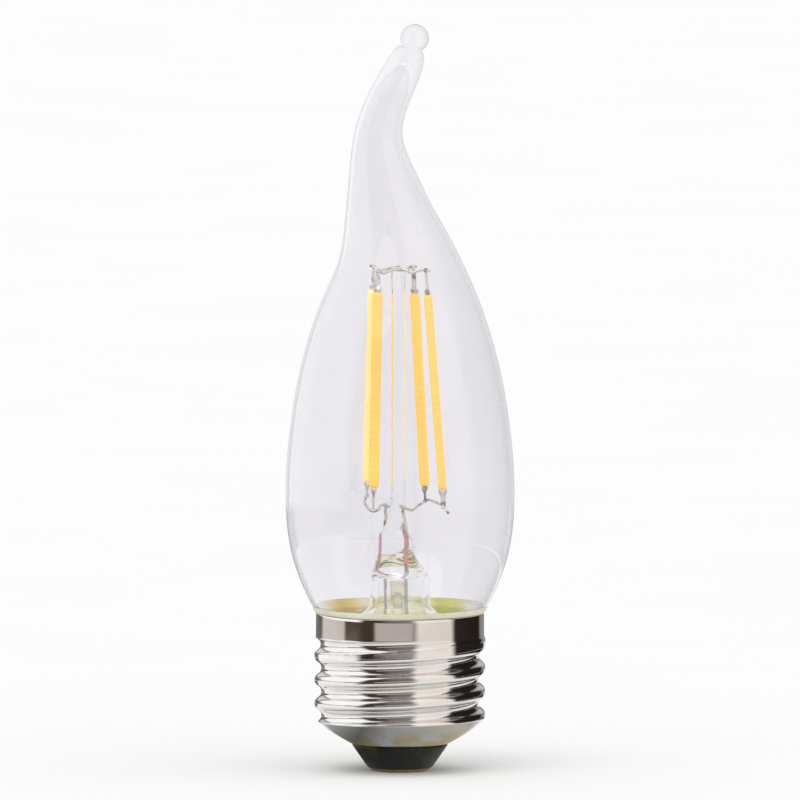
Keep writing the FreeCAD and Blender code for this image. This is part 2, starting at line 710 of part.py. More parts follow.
def package(name, width, depth, tall, x, y, legs):
    """A moulded package with a row of legs on its front and back."""
    case = add("Part::Box", name + "_case", Length=width, Width=depth, Height=tall + " - leg_thickness",
               Placement__Base__x="%s - %s / 2" % (x, width), Placement__Base__y="%s - %s / 2" % (y, depth),
               Placement__Base__z=BOARD_TOP + " + leg_thickness")
    pieces = [case]
    for number in range(legs):
        for hand in (-1, 1):
            across = "%s + %s * %f" % (x, width, (number + 0.5) / legs - 0.5)
            away = "%s + %d * (%s / 2) - leg_reach / 2" % (y, hand, depth)
            pieces.append(add("Part::Box", "%s_leg_%d_%d" % (name, number, hand + 1),
                              Length="leg_width", Width="leg_reach", Height="leg_thickness * 2",
                              Placement__Base__x=across + " - leg_width / 2",
                              Placement__Base__y=away, Placement__Base__z=BOARD_TOP))
    return fuse(name, pieces)


package("driver_chip", "chip_width", "chip_depth", "chip_height", "-1", "-6.2", 4)
package("bridge_rectifier", "rectifier_width", "rectifier_depth", "rectifier_height", "-6.5", "-1", 2)

add("Part::Cylinder", "contact_wire", Radius="contact_wire_radius",
    Height=BOARD_FOOT + " - dimple_depth - solder_height",
    Placement__Base__z="dimple_depth + solder_height")
touch = value("crest_radius - thread_depth - shell_wall - lead_radius - clearance")
ray = V(math.cos(math.radians(-45)), math.sin(math.radians(-45)), 0)
wire("shell_wire", "lead_radius", [
    ray * (touch - 2) + board_top + V(0, 0, value("clearance")),
    ray * (touch - 1.9) + board_top + V(0, 0, 0.8),
    ray * (touch - 0.4) + board_top + V(0, 0, 1.8),
    ray * touch + board_top + V(0, 0, 2.8)])

# Every node, the checks on it, and its file

PAIRS = ["seal_wire", "inner_lead", "outer_lead", "lower_cross_wire"]
NODES = ["screw_shell", "base_insulator", "center_contact", "contact_solder", "basing_cement",
         "glass_envelope", "stem_flare", "exhaust_tube", "support_column",
         "upper_bridge_wire_front", "upper_bridge_wire_back",
         "driver_board", "smoothing_capacitor", "fusible_resistor", "driver_chip",
         "bridge_rectifier", "contact_wire", "shell_wire"]
NODES += ["%s_%s" % (name, side) for name in PAIRS for side in ("right", "left")]
for name in ("filament_%d", "lower_pin_%d", "upper_pin_%d"):
    NODES += [name % number for number in range(1, len(lines) + 1)]

doc.recompute()
for item in doc.Objects:
    if "Invalid" in item.State or "Error" in item.State:
        raise RuntimeError("%s failed: %s" % (item.Label, item.State))
os.makedirs("parts", exist_ok=True)
broken = []
for name in NODES:
    shape = doc.getObject(name).Shape
    print("%-26s %9.2f mm3 %4d faces %2d solids" % (name, shape.Volume, len(shape.Faces), len(shape.Solids)))
    if shape.isNull() or not shape.isValid() or len(shape.Solids) != 1:
        broken.append(name)
        continue
    shape.exportStep("parts/%s.step" % name)
if broken:
    raise RuntimeError("not one valid solid: " + ", ".join(broken))
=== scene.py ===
# %% [markdown]
# # A candle bulb with a bent tip
#
# The bulb is a clear blown glass with a drawn-out, curved tail, four lit filaments on
# a glass stem, and a rolled nickel screw shell. The solid model gives the frame: every
# piece made here sits where the solids say. What the solids keep plain, such as the
# smooth glass, the rolled thread, the kinked wires and the weld beads, is made here.

# %% Load the solid model as the fixed frame
import math

import bmesh
import bpy
import numpy as np
from mathutils import Matrix, Vector, noise


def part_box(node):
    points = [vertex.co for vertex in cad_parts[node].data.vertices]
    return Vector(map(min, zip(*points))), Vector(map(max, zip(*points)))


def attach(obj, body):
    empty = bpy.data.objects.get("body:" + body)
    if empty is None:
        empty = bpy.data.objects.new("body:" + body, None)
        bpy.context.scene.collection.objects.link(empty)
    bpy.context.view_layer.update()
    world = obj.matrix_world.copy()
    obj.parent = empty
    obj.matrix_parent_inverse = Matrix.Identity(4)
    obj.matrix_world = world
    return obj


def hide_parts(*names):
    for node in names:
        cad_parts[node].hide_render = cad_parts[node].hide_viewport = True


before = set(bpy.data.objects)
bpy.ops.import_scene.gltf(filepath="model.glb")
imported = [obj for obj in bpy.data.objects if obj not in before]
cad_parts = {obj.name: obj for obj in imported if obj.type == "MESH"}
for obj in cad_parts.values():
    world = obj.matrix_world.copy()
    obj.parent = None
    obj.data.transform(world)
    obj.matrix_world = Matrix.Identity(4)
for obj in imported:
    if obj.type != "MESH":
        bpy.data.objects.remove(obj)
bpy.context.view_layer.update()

# %% [markdown]
# ## Working in millimetres
#
# A bulb is drawn in millimetres, and Blender's unit here is the metre. Sizes could be
# written in metres throughout, but then each starts with a row of noughts. So each mesh
# is modelled in millimetres and scaled once, when it becomes an object. The same cell
# puts the object on the bulb's one body, and hides the solids that it stands for.
# Doubles are merged and normals are turned outwards before that.

# %% From a modelled mesh to a piece on the bulb's body
MM = 0.001
SEAM = 0.0004  # points nearer to each other than this are one point, in millimetres


def make_object(bm, name, finish):
    """Put a mesh into the scene as an object with one finish."""
    mesh = bpy.data.meshes.new(name)
    bm.to_mesh(mesh)
    bm.free()
    mesh.materials.append(finish)
    made = bpy.data.objects.new(name, mesh)
    bpy.context.scene.collection.objects.link(made)
    return made


def finish_piece(bm, name, finish, stands_for):
    """Make one piece of the bulb from a mesh in millimetres, put it on the bulb's body and hide the solids
    that it stands for.
    """
    bmesh.ops.remove_doubles(bm, verts=bm.verts, dist=SEAM)
    bmesh.ops.recalc_face_normals(bm, faces=bm.faces)
    bmesh.ops.scale(bm, vec=(MM, MM, MM), verts=bm.verts)
    piece = make_object(bm, name, finish)
    piece.data.shade_smooth()
    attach(piece, "root")
    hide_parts(*stands_for)
    low, high = (Vector(map(side, *[v.co for v in piece.data.vertices])) / MM for side in (min, max))
    print("%-22s %6d faces, mm %s to %s" % (
        name, len(piece.data.polygons), [round(c, 2) for c in low], [round(c, 2) for c in high]))


# %% [markdown]
# ## Smooth lines through a few measured heights
#
# Blown glass has no corners: its outline bends evenly from one height to the next. It
# could be a chain of arcs, but where two arcs meet, the bend jumps. A natural cubic
# curve passes through every measured point, and its bend never jumps. That matters
# here, because glass shows a jump as a kink in what is seen through it.

# %% A natural cubic curve through measured points
def even_curve(knots):
    """The curve through (height, value) points, as a function of height."""
    at, size = (np.array(column, float) for column in zip(*knots))
    gap = np.diff(at)
    rise = np.diff(size) / gap
    rows = np.eye(len(at))
    change = np.zeros(len(at))
    for k in range(1, len(at) - 1):
        rows[k, k - 1:k + 2] = gap[k - 1], 2 * (gap[k - 1] + gap[k]), gap[k]
        change[k] = 6 * (rise[k] - rise[k - 1])
    bend = np.linalg.solve(rows, change)

    def value(height):
        k = int(np.clip(np.searchsorted(at, height) - 1, 0, len(gap) - 1))
        below, above = height - at[k], at[k + 1] - height
        return ((bend[k] * above ** 3 + bend[k + 1] * below ** 3) / (6 * gap[k])
                + (size[k] / gap[k] - bend[k] * gap[k] / 6) * above
                + (size[k + 1] / gap[k] - bend[k + 1] * gap[k] / 6) * below)

    return value


bump_side = even_curve([(0, 0), (1, 1), (2, 0)])
print("half-way to the top of a bump of 1, the curve is at %.3f" % bump_side(0.5))

# %% [markdown]
# ## Drawing a ring out, as a glass blower does
#
# Tubes, rods and wires are all one idea: a ring pulled through a row of places. The
# ring starts as a circle. At each step its edges are extruded and the new ring is
# moved, turned and stretched to the next place. A place is a matrix that carries the
# unit circle there, so a ring may be oval, tipped or turned. An end is closed by
# merging a very small last ring into one point. What is round about the bulb's own
# axis, such as the cap, is spun from its profile instead, as on a lathe.

# %% Rings, the tube that they draw, and turned profiles
POLE = 0.02  # least radius of a ring, also of a last one, which is merged into one point


def ring_place(x, y, z, across, deep=None, tip=0.0, turn=0.0):
    """Where a ring goes: centre, half widths, tip towards +X and turn about Z in degrees."""
    return (Matrix.Translation((x, y, z))
            @ Matrix.Rotation(math.radians(turn), 4, "Z")
            @ Matrix.Rotation(math.radians(tip), 4, "Y")
            @ Matrix.Diagonal((across, deep or across, 1, 1)))


def round_end(x, height, radius, rise, angles, turn=0.0):
    """The rings of an end that rounds off by a rise above a height, or below it if negative."""
    return [ring_place(x, 0, height + rise * math.sin(math.radians(angle)),
                       max(POLE, radius * math.cos(math.radians(angle))), turn=turn) for angle in angles]


def draw_out(bm, places, sides):
    """Pull a circle through the places, and close both ends."""
    ring = bmesh.ops.create_circle(bm, segments=sides, radius=1, matrix=places[0])["verts"]
    first_ring = ring
    edges = list(dict.fromkeys(edge for vert in ring for edge in vert.link_edges))
    for before, after in zip(places, places[1:]):
        made = bmesh.ops.extrude_edge_only(bm, edges=edges)["geom"]
        ring = [item for item in made if isinstance(item, bmesh.types.BMVert)]
        fresh = set(ring)
        edges = [item for item in made
                 if isinstance(item, bmesh.types.BMEdge) and fresh.issuperset(item.verts)]
        bmesh.ops.transform(bm, matrix=after @ before.inverted(), verts=ring)
    for end, place in ((first_ring, places[0]), (ring, places[-1])):
        bmesh.ops.pointmerge(bm, verts=end, merge_co=place.translation)


def turn_profile(bm, profile, steps):
    """Spin a closed or open line of (radius, height) points about the bulb's axis."""
    verts = [bm.verts.new((radius, 0, height)) for radius, height in profile]
    edges = [bm.edges.new(pair) for pair in zip(verts, verts[1:])]
    if profile[0][0] > 0 and profile[-1][0] > 0:
        edges.append(bm.edges.new((verts[-1], verts[0])))
    bmesh.ops.spin(bm, geom=verts + edges, cent=(0, 0, 0), axis=(0, 0, 1),
                   angle=2 * math.pi, steps=steps, use_merge=True)


# %% [markdown]
# ## Colour, and one way to add a node
#
# Colours are written as they look on a screen, and one function turns them into the
# linear values that light adds up in. One more function adds a node with its settings
# and links, so a material reads as a list of what it is made of. A link may come from
# a node instead of from one of its sockets: then its first output in use is meant.

# %% Colour and node helpers
def colour(code):
    """A screen colour such as "#CFCAC4" as linear red, green, blue and alpha."""
    parts = [int(code[k:k + 2], 16) / 255 for k in (1, 3, 5)]
    return [c / 12.92 if c <= 0.04045 else ((c + 0.055) / 1.055) ** 2.4 for c in parts] + [1.0]


def add_node(material, kind, inputs=(), stops=(), **settings):
    """Add one node, set it up, and set or link its inputs. Stops are a ramp's places and colours."""
    made = material.node_tree.nodes.new("ShaderNode" + kind)
    for name, setting in settings.items():
        setattr(made, name, setting)
    for number, (position, code) in enumerate(stops):
        held = made.color_ramp.elements
        stop = held[number] if number < len(held) else held.new(position)
        stop.position = position
        stop.color = colour(code)
    for socket, source in dict(inputs).items():
        if isinstance(source, bpy.types.Node):
            source = next(output for output in source.outputs if output.enabled)
        if isinstance(source, bpy.types.NodeSocket):
            material.node_tree.links.new(source, made.inputs[socket])
        else:
            made.inputs[socket].default_value = source
    return made


def new_material(name):
    """An empty material."""
    material = bpy.data.materials.new(name)
    material.use_nodes = True
    material.node_tree.nodes.clear()
    return material


def show(material, shader):
    """Put a shader on the material's surface."""
    add_node(material, "OutputMaterial", {"Surface": shader})
    print("finish:", material.name)
    return material


def grain(material, size_mm, detail=3.0, stretch=(1, 1, 1)):
    """Noise whose spots are about size_mm across, and which stays where it is on the object."""
    scaled = add_node(material, "Mapping", {
        "Vector": add_node(material, "TexCoord").outputs["Object"], "Scale": stretch})
    return add_node(material, "TexNoise", {
        "Vector": scaled, "Scale": 1 / (size_mm * MM), "Detail": detail})


print("half-way up the screen's grey is %.3f of the light" % colour("#808080")[0])

# %% [markdown]
# ## Opaque finishes
#
# Hardly any real surface is one even tone. Drawn wire, stamped brass, solder and
# moulded parts all have a tone that drifts in soft clouds, a gloss that drifts with it,
# and small marks that only show in the shine. Painted pictures could show that, but
# noise of a real size in millimetres has no seam and holds at any distance. The finishes
# differ only in these sizes and tones, so one function makes them all.

# %% A finish with clouds and small marks
def cloudy_finish(name, tones, clouds, marks, depth_mm, strength, rough, **sockets):
    """An opaque finish. Clouds and marks are (size in mm, detail) and, where stretched, by how much."""
    material = new_material(name)
    cloud = grain(material, *clouds)
    relief = add_node(material, "Bump", {
        "Height": grain(material, *marks), "Strength": strength, "Distance": depth_mm * MM})
    if isinstance(rough, tuple):
        rough = add_node(material, "MapRange", {"Value": cloud, "To Min": rough[0], "To Max": rough[1]})
    return show(material, add_node(material, "BsdfPrincipled", {
        "Base Color": add_node(material, "ValToRGB", {"Fac": cloud}, stops=tones),
        "Roughness": rough, "Normal": relief, **sockets}))


# %% [markdown]
# ## Blown glass
#
# The envelope is soda-lime glass, blown and then drawn out while soft. It is clear, with
# a faint cool grey from its iron and from the light that its walls turn away, and its
# surface has shallow waves a few millimetres long. It could be a thin see-through skin,
# but then nothing seen through it would bend. So it is a glass shader with an index of
# 1.5, which bends and mirrors light as the real wall does. Where the wall is seen
# edge-on there is more glass to look through, so the tint darkens there; that darker
# edge is also painted shade for the dark edges that the glass shows. In the solid bead
# at the tip the tint darkens in a ring, which is painted shade. A renderer would give
# such glass a dark shadow, and it gives up on light that bounces along inside a thick
# piece. So for shadow rays, and after many bounces, the material lets the light go on
# straight.

# %% Clear glass of the envelope and of the stem
GLASS_INDEX = 1.5
EDGE_ON = (0.68, 1.0)  # how far the wall is turned away, where the edge's tint and painted shade start and are full
BEAD_HEIGHT = (110.4, 111.0)  # millimetres, where the bead's ring of painted shade starts and is full
BEAD_SHADE_RING = (0.16, 0.5)  # the same for the ring of painted shade in the bead
GLASS_BOUNCES = 7.5  # light that has turned more often than this goes on straight


def make_glass(name, tint, edge, rough, wave_mm, wave_height, thin):
    """A clear glass whose surface waves are wave_mm long, darker edge-on by its tint and by painted shade,
    and with a ring of painted shade in the bead.
    """
    material = new_material(name)
    bump = add_node(material, "Bump", {
        "Height": grain(material, wave_mm, 1.0, (1, 1, 0.6)), "Strength": 1.0,
        "Distance": wave_height * MM})
    facing = add_node(material, "LayerWeight", {"Blend": 0.5}).outputs["Facing"]
    edge_on = add_node(material, "MapRange", {
        "Value": facing, "From Min": EDGE_ON[0], "From Max": EDGE_ON[1]})
    axes = add_node(material, "SeparateXYZ", {"Vector": add_node(material, "TexCoord").outputs["Object"]})
    in_bead = add_node(material, "MapRange", {
        "Value": axes.outputs["Z"], "From Min": BEAD_HEIGHT[0] * MM, "From Max": BEAD_HEIGHT[1] * MM})
    off_centre = add_node(material, "MapRange", {
        "Value": facing, "From Min": BEAD_SHADE_RING[0], "From Max": BEAD_SHADE_RING[1]})
    painted_bead_shade = add_node(material, "Math", {0: in_bead, 1: off_centre}, operation="MULTIPLY")
    # The edge colour darkens the glass edge-on, partly as its own tint and partly as painted shade, and in
    # a ring in the bead as painted shade only.
    tint_and_painted_shade = add_node(material, "Math", {0: edge_on, 1: painted_bead_shade}, operation="MAXIMUM")
    clouds = add_node(material, "ValToRGB", {"Fac": grain(material, 14, 1.0)}, stops=tint)
    tone = add_node(material, "Mix", {0: tint_and_painted_shade, 6: clouds, 7: colour(edge)}, data_type="RGBA")
    body = add_node(material, "BsdfPrincipled", {
        "Base Color": tone, "Roughness": rough, "IOR": GLASS_INDEX, "Transmission Weight": 1.0,
        "Normal": bump})
    clear = add_node(material, "BsdfTransparent", {"Color": colour(thin)})
    path = add_node(material, "LightPath")
    many = add_node(material, "Math", {
        0: path.outputs["Ray Depth"], 1: GLASS_BOUNCES}, operation="GREATER_THAN")
    through = add_node(material, "Math", {
        0: path.outputs["Is Shadow Ray"], 1: many}, operation="MAXIMUM")
    return show(material, add_node(material, "MixShader", {0: through, 1: body, 2: clear}))


# Each edge colour below is partly the glass's tint and partly painted shade of its edges.
blown_glass = make_glass(
    "Soda-lime glass, blown and drawn", tint=[(0.3, "#F3F2F5"), (0.7, "#F6F5F8")], edge="#E2E2E6",
    rough=0.0, wave_mm=7.0, wave_height=0.004, thin="#FAFAFB")
stem_glass = make_glass(
    "Stem glass, pressed and fire-smoothed", tint=[(0.3, "#FBFDFB"), (0.7, "#FFFFFF")], edge="#F6F7F6",
    rough=0.06, wave_mm=2.2, wave_height=0.05, thin="#FCFCFC")

# %% [markdown]
# ## The envelope
#
# The real one is blown from one tube, and its end is drawn out to a bent tail. It could
# be turned on a lathe, but the tail leans. So it is one sleeve with a skin outside and
# one inside, a wall apart, drawn from the rounded end of the hollow down to the cut
# neck, and back up on the outside. The radius of the glass is measured at some two
# dozen heights and the sideways lean of the tail at a dozen, and the rings follow the
# two even curves through them. In the tail each ring is tipped to stay square to the
# middle line. The hollow ends in a rounded point below the tip, and the tip itself is a
# solid melted bead.

# %% Measured heights of the glass, in millimetres
RADII = even_curve([
    (13.8, 11.3), (18.0, 11.5), (22.3, 11.8), (23.5, 12.1), (24.3, 12.48), (24.8, 12.95), (25.5, 13.5),
    (26.4, 14.0), (29.1, 15.2), (32.2, 16.3), (35.3, 17.0), (41.4, 17.52), (47.6, 17.35), (53.8, 16.7),
    (59.9, 15.7), (66.1, 14.15), (72.3, 12.05), (78.4, 9.4), (84.6, 7.1), (90.7, 5.35), (96.1, 4.0),
    (100.8, 3.35), (104.6, 3.1), (107.7, 2.85), (110.0, 2.4), (111.1, 1.95)])
LEAN = even_curve([
    (13.8, 0), (47.6, 0), (66.1, 0), (72.3, -0.08), (78.4, -0.5), (84.6, -1.6), (90.7, -2.7),
    (96.1, -3.35), (98.4, -3.2), (101.0, -2.55), (104.0, -1.35), (107.7, 0.45), (111.1, 1.9)])
LEAN_START, LEAN_FULL = 62, 74  # straight below the first height, leaning fully above the second
WALL = 0.7
NECK_END, TAIL_END, RING_STEP = 13.8, 109.6, 0.75
NUDGE = 0.1  # the lean's slope is measured this far above and below a height
SHOULDER = [  # height, radius, tip in degrees: from the tail in to the neck of the bead
    (109.7, 2.46, 22.5), (110.05, 2.37, 22), (110.32, 2.26, 21.5), (110.53, 2.12, 21),
    (110.69, 1.98, 20), (110.82, 1.84, 19), (110.92, 1.73, 18), (111.0, 1.66, 17)]
BEAD_CENTRE, BEAD_RADIUS, BEAD_TIP = Vector((2.25, 0, 112.45)), 2.2, 16
BEAD_ANGLES = (-41, -39, -36, -32, *range(-27, 90, 6), 90)
CAVITY_END, CAVITY_ROUND = 108.6, 5.0
print("widest radius of the glass: %.2f mm" % max(RADII(z) for z in np.arange(NECK_END, TAIL_END, 0.5)))


# %% The envelope, drawn from its rings
def glass_ring(height, inset=0.0):
    """The ring of the glass at a height, in by an inset."""
    slope = (LEAN(height + NUDGE) - LEAN(height - NUDGE)) / (2 * NUDGE)
    fade = min(1, max(0, (height - LEAN_START) / (LEAN_FULL - LEAN_START)))
    narrow = 1.0
    if inset and height > CAVITY_END - CAVITY_ROUND:
        narrow = math.sqrt(max(0, 1 - ((height - CAVITY_END) / CAVITY_ROUND + 1) ** 2))
    radius = max(POLE, (RADII(height) - inset) * narrow)
    return ring_place(LEAN(height) * fade, 0, height, radius, tip=math.degrees(math.atan(slope)) * fade)


outside = [glass_ring(height) for height in np.arange(NECK_END, TAIL_END, RING_STEP)]
outside += [ring_place(LEAN(height), 0, height, radius, tip=tip) for height, radius, tip in SHOULDER]
along_bead = Vector((math.sin(math.radians(BEAD_TIP)), 0, math.cos(math.radians(BEAD_TIP))))
for angle in BEAD_ANGLES:
    turned = math.radians(angle)
    centre = BEAD_CENTRE + along_bead * BEAD_RADIUS * math.sin(turned)
    outside.append(ring_place(centre.x, 0, centre.z, max(POLE, BEAD_RADIUS * math.cos(turned)),
                              tip=BEAD_TIP))
hollow = [glass_ring(height, WALL)
          for height in np.arange(NECK_END, CAVITY_END - CAVITY_ROUND, RING_STEP)]
hollow += [glass_ring(CAVITY_END - CAVITY_ROUND * (1 - math.sin(math.radians(angle))), WALL)
           for angle in range(4, 91, 4)]
glass = bmesh.new()
draw_out(glass, hollow[::-1] + outside, sides=128)
finish_piece(glass, "envelope", blown_glass, ["glass_envelope"])

# %% [markdown]
# ## The stem
#
# The stem starts as a glass tube. Its foot is flared to a trumpet and sealed to the
# neck, its top is squeezed flat over the lead wires, and a thin rod goes on from there
# to carry the filaments' upper wires. The exhaust tube hangs inside. Flare, press and
# rod could be three pieces, but faces between them would show through the glass. They
# are melted together in the real one, so here they are one closed piece of glass.

# %% Flare, press and rod
PRESS_TURN = -41.3
FLARE_SKIN = [  # radius, height: up the neck's wall, over the flare's fold and in to the tube
    (10.45, 13.8), (10.55, 18.0), (10.7, 21.0), (11.0, 22.4), (11.2, 23.1), (11.2, 23.5), (11.0, 23.8),
    (10.4, 23.94), (9.4, 24.0), (8.2, 24.05), (7.2, 24.14), (6.3, 24.3), (5.6, 24.6), (5.0, 25.1),
    (4.65, 25.8), (4.5, 26.8), (4.48, 28.0)]
FLARE_BORE = [  # radius, height: from the tube's bore out under the fold and down
    (3.45, 28.6), (3.45, 26.4), (3.6, 25.2), (4.0, 24.3), (4.8, 23.65), (6.0, 23.3), (8.0, 23.15),
    (9.4, 23.1), (10.0, 23.0), (10.2, 22.7), (10.2, 22.0), (10.0, 21.0), (9.9, 18.0), (9.8, 13.8)]
BORE_END, BORE_ROUND, BORE_RADIUS = 29.4, 1.1, 3.4
STEM_ROWS = [  # height, middle, half width, half thickness
    (26.0, 0, 4.5, 4.5), (29.0, 0, 4.45, 4.45), (31.0, -0.2, 4.25, 3.5), (33.0, -0.6, 3.5, 2.1),
    (34.6, -0.72, 3.3, 1.8), (35.8, -0.75, 3.1, 1.7), (36.9, -0.73, 2.2, 1.55), (38.3, -0.68, 1.45, 1.4),
    (39.6, -0.5, 1.25, 1.25), (41.0, -0.3, 1.15, 1.15)]
STEM_MIDDLE, STEM_WIDE, STEM_THICK = (
    even_curve([(row[0], row[column]) for row in STEM_ROWS]) for column in (1, 2, 3))
ROD_X, ROD_RADIUS, ROD_TOP, ROD_ROUND = -0.3, 1.15, 77.5, 0.9
SWELL, SWELL_WAVE = 0.01, 0.6  # the rod swells by this share, in waves of so many radians a millimetre

skin = [ring_place(0, 0, height, radius, turn=PRESS_TURN) for radius, height in FLARE_SKIN]
skin += [ring_place(STEM_MIDDLE(height), 0, height, STEM_WIDE(height), STEM_THICK(height),
                    turn=PRESS_TURN) for height in np.arange(29.0, 41.0, 0.4)]
skin += [ring_place(ROD_X, 0, height, ROD_RADIUS * (1 + SWELL * math.sin(height * SWELL_WAVE)),
                    turn=PRESS_TURN) for height in np.arange(41.2, ROD_TOP - 1.0, 0.8)]
skin += round_end(ROD_X, ROD_TOP - ROD_ROUND, ROD_RADIUS, ROD_ROUND, range(0, 91, 15), PRESS_TURN)
bore = [ring_place(0, 0, height, radius, turn=PRESS_TURN) for radius, height in FLARE_BORE[::-1]]
bore += round_end(0, BORE_END, BORE_RADIUS, BORE_ROUND, range(10, 91, 10), PRESS_TURN)
stem = bmesh.new()
draw_out(stem, bore[::-1] + skin, sides=64)
finish_piece(stem, "stem", stem_glass, ["stem_flare", "support_column"])

# %% [markdown]
# ## The exhaust tube
#
# The bulb was pumped and filled through this thin tube, and then the tube was sealed
# off with a flame, which left a round end. A plain rod would look solid, so it is a
# tube with a bore of its own, and it shows as two faint lines inside the stem.

# %% Exhaust tube
TUBE_X, TUBE_TOP, TUBE_FOOT = -0.3, 29.2, 16.6
TUBE_RADIUS, TUBE_BORE = 1.4, 0.8
outer_rows = round_end(TUBE_X, TUBE_FOOT + TUBE_RADIUS, TUBE_RADIUS, -TUBE_RADIUS, range(90, -1, -15))
outer_rows += [ring_place(TUBE_X, 0, height, TUBE_RADIUS) for height in np.arange(18.6, TUBE_TOP, 1.5)]
outer_rows.append(ring_place(TUBE_X, 0, TUBE_TOP, TUBE_RADIUS))
inner_rows = round_end(TUBE_X, TUBE_FOOT + TUBE_RADIUS + TUBE_BORE, TUBE_BORE, -TUBE_BORE,
                       range(90, -1, -15))
inner_rows += [ring_place(TUBE_X, 0, height, TUBE_BORE) for height in (22.0, 26.0, TUBE_TOP)]
tube = bmesh.new()
draw_out(tube, outer_rows + inner_rows[::-1], sides=32)
finish_piece(tube, "exhaust", stem_glass, ["exhaust_tube"])

# %% [markdown]
# ## Bent wires
#
# A wire is bent with small pliers: short straight runs, soft corners, and now and then
# a kink. A curve object with a bevel could draw it, but that pinches at sharp bends. So
# its middle line is given by the few points where it is bent. The line is rounded by
# cutting its corners twice, as a file takes off an edge, and a ring is then drawn along
# it, turned at each step by just as much as the line turns.

# %% Wires
WIRE_START = ((0.35, 0.1), (0.85, 0.02), (1, 0.12))  # a rounded end: width and place, in radii
WIRE_END = ((1, -0.12), (0.85, -0.02), (0.35, 0.1))


def soften(points):
    """Cut the corners of a line twice. Its ends stay."""
    points = [Vector(p) for p in points]
    for _ in range(2):
        cut = [points[0]]
        for here, after in zip(points, points[1:]):
            cut += [here.lerp(after, 0.25), here.lerp(after, 0.75)]
        points = cut + [points[-1]]
    return points


def wire_places(points, radius):
    """Places for the rings of a wire along a line, with rounded ends."""
    aims = [(after - here).normalized() for here, after in zip(points, points[1:])]
    aims = [aims[0]] + [(a + b).normalized() for a, b in zip(aims, aims[1:])] + [aims[-1]]
    turn = Vector((0, 0, 1)).rotation_difference(aims[0])
    ends = {0: WIRE_START, len(points) - 1: WIRE_END}
    places = []
    for number, (point, aim) in enumerate(zip(points, aims)):
        if number:
            turn = aims[number - 1].rotation_difference(aim) @ turn
        for wide, ahead in ends.get(number, ((1, 0),)):
            places.append(Matrix.Translation(point + aim * radius * ahead) @ turn.to_matrix().to_4x4()
                          @ Matrix.Diagonal((radius * wide, radius * wide, 1, 1)))
    return places


def bend_wire(bm, points, radius):
    """Add one bent wire to a mesh."""
    draw_out(bm, wire_places(soften(points), radius), sides=16)


def add_bead(bm, centre, radius, squash=(1, 1, 1)):
    """A drop of melted metal where two wires are welded."""
    bmesh.ops.create_icosphere(bm, subdivisions=3, radius=radius,
                               matrix=Matrix.Translation(centre) @ Matrix.Diagonal((*squash, 1)))


# %% [markdown]
# ## Where the filaments stand
#
# The four filaments stand on a wide circle and lean in to a narrower one, as the solids
# have them. Every wire and weld below could have its own typed place, but then nothing
# would follow when a filament moves. So each is placed by the middle line of the
# filament that it holds, and this cell gives a point of that line at any height.

# %% The middle lines of the filaments
FOOT_CIRCLE, HEAD_CIRCLE, HEAD_SHIFT = 7.2, 5.2, -0.5
FILAMENT_FOOT, FILAMENT_LENGTH = 43.4, 30.2
FILAMENTS = {  # number, angle about the axis, how much its foot is lifted
    "front_right": (1, -25.5, -0.1),
    "back_right": (2, 58.0, -0.5),
    "back_left": (3, 134.6, 0.2),
    "front_left": (4, 236.3, 0.4)}


def filament_line(place):
    """Foot and head of a filament's middle line."""
    _, angle, lift = FILAMENTS[place]
    away = Vector((math.cos(math.radians(angle)), math.sin(math.radians(angle)), 0))
    foot = away * FOOT_CIRCLE + Vector((0, 0, FILAMENT_FOOT + lift))
    head = away * HEAD_CIRCLE + Vector((HEAD_SHIFT, 0, FILAMENT_FOOT + lift + FILAMENT_LENGTH))
    return foot, foot + (head - foot).normalized() * FILAMENT_LENGTH


def on_filament(place, height):
    """The point of a filament's middle line at a height."""
    foot, head = filament_line(place)
    return foot.lerp(head, (height - foot.z) / (head.z - foot.z))


for place in FILAMENTS:
    print("%-12s foot and head in mm:" % place,
          *[[round(c, 1) for c in end] for end in filament_line(place)])

# %% [markdown]
# ## The lit phosphor coat
#
# An LED filament is a row of blue chips on a thin strip, rolled in silicone that is
# loaded with yellow phosphor. A lamp inside each bar could light it, but the coat would
# then burn out to white. Lit gently, as here, it glows a warm yellow of its own and
# keeps its surface: slightly lumpy, matt, a little deeper in colour in places. The
# chips, about one to the millimetre, show through as a faint row.

# %% Phosphor in silicone, lit
CHIP_SPACING, CHIP_SHOW = 1.05, 0.25  # millimetres from chip to chip, and their share in the tone
WAVE_TURN = 20  # a wave texture of scale 1 turns by so many radians in each unit


def make_phosphor(name, glow, tones):
    """A glowing phosphor coat. Glow is how much light it gives of its own."""
    material = new_material(name)
    chips = add_node(material, "TexWave", {
        "Vector": add_node(material, "TexCoord").outputs["Object"],
        "Scale": 2 * math.pi / (WAVE_TURN * CHIP_SPACING * MM), "Distortion": 1.2, "Detail": 1.0},
        wave_type="BANDS", bands_direction="Z").outputs["Fac"]
    mixed = add_node(material, "Mix", {
        0: CHIP_SHOW, 2: grain(material, 5.0, 2.0), 3: chips}, data_type="FLOAT")
    tone = add_node(material, "ValToRGB", {"Fac": mixed}, stops=tones)
    bump = add_node(material, "Bump", {
        "Height": grain(material, 0.8, 2.0), "Strength": 0.5, "Distance": 0.12 * MM})
    return show(material, add_node(material, "BsdfPrincipled", {
        "Base Color": tone, "Roughness": 0.55, "Emission Color": tone, "Emission Strength": glow,
        "Normal": bump}))


phosphor = make_phosphor("Phosphor in silicone, moulded and lit", 0.42,
                         [(0.25, "#FFC46A"), (0.5, "#FFCB5C"), (0.8, "#FFD35A")])
pale_phosphor = make_phosphor("Phosphor in silicone, paler and glowing more, lit", 0.5,
                              [(0.25, "#FFDC8C"), (0.5, "#FFE08A"), (0.8, "#FFE596")])

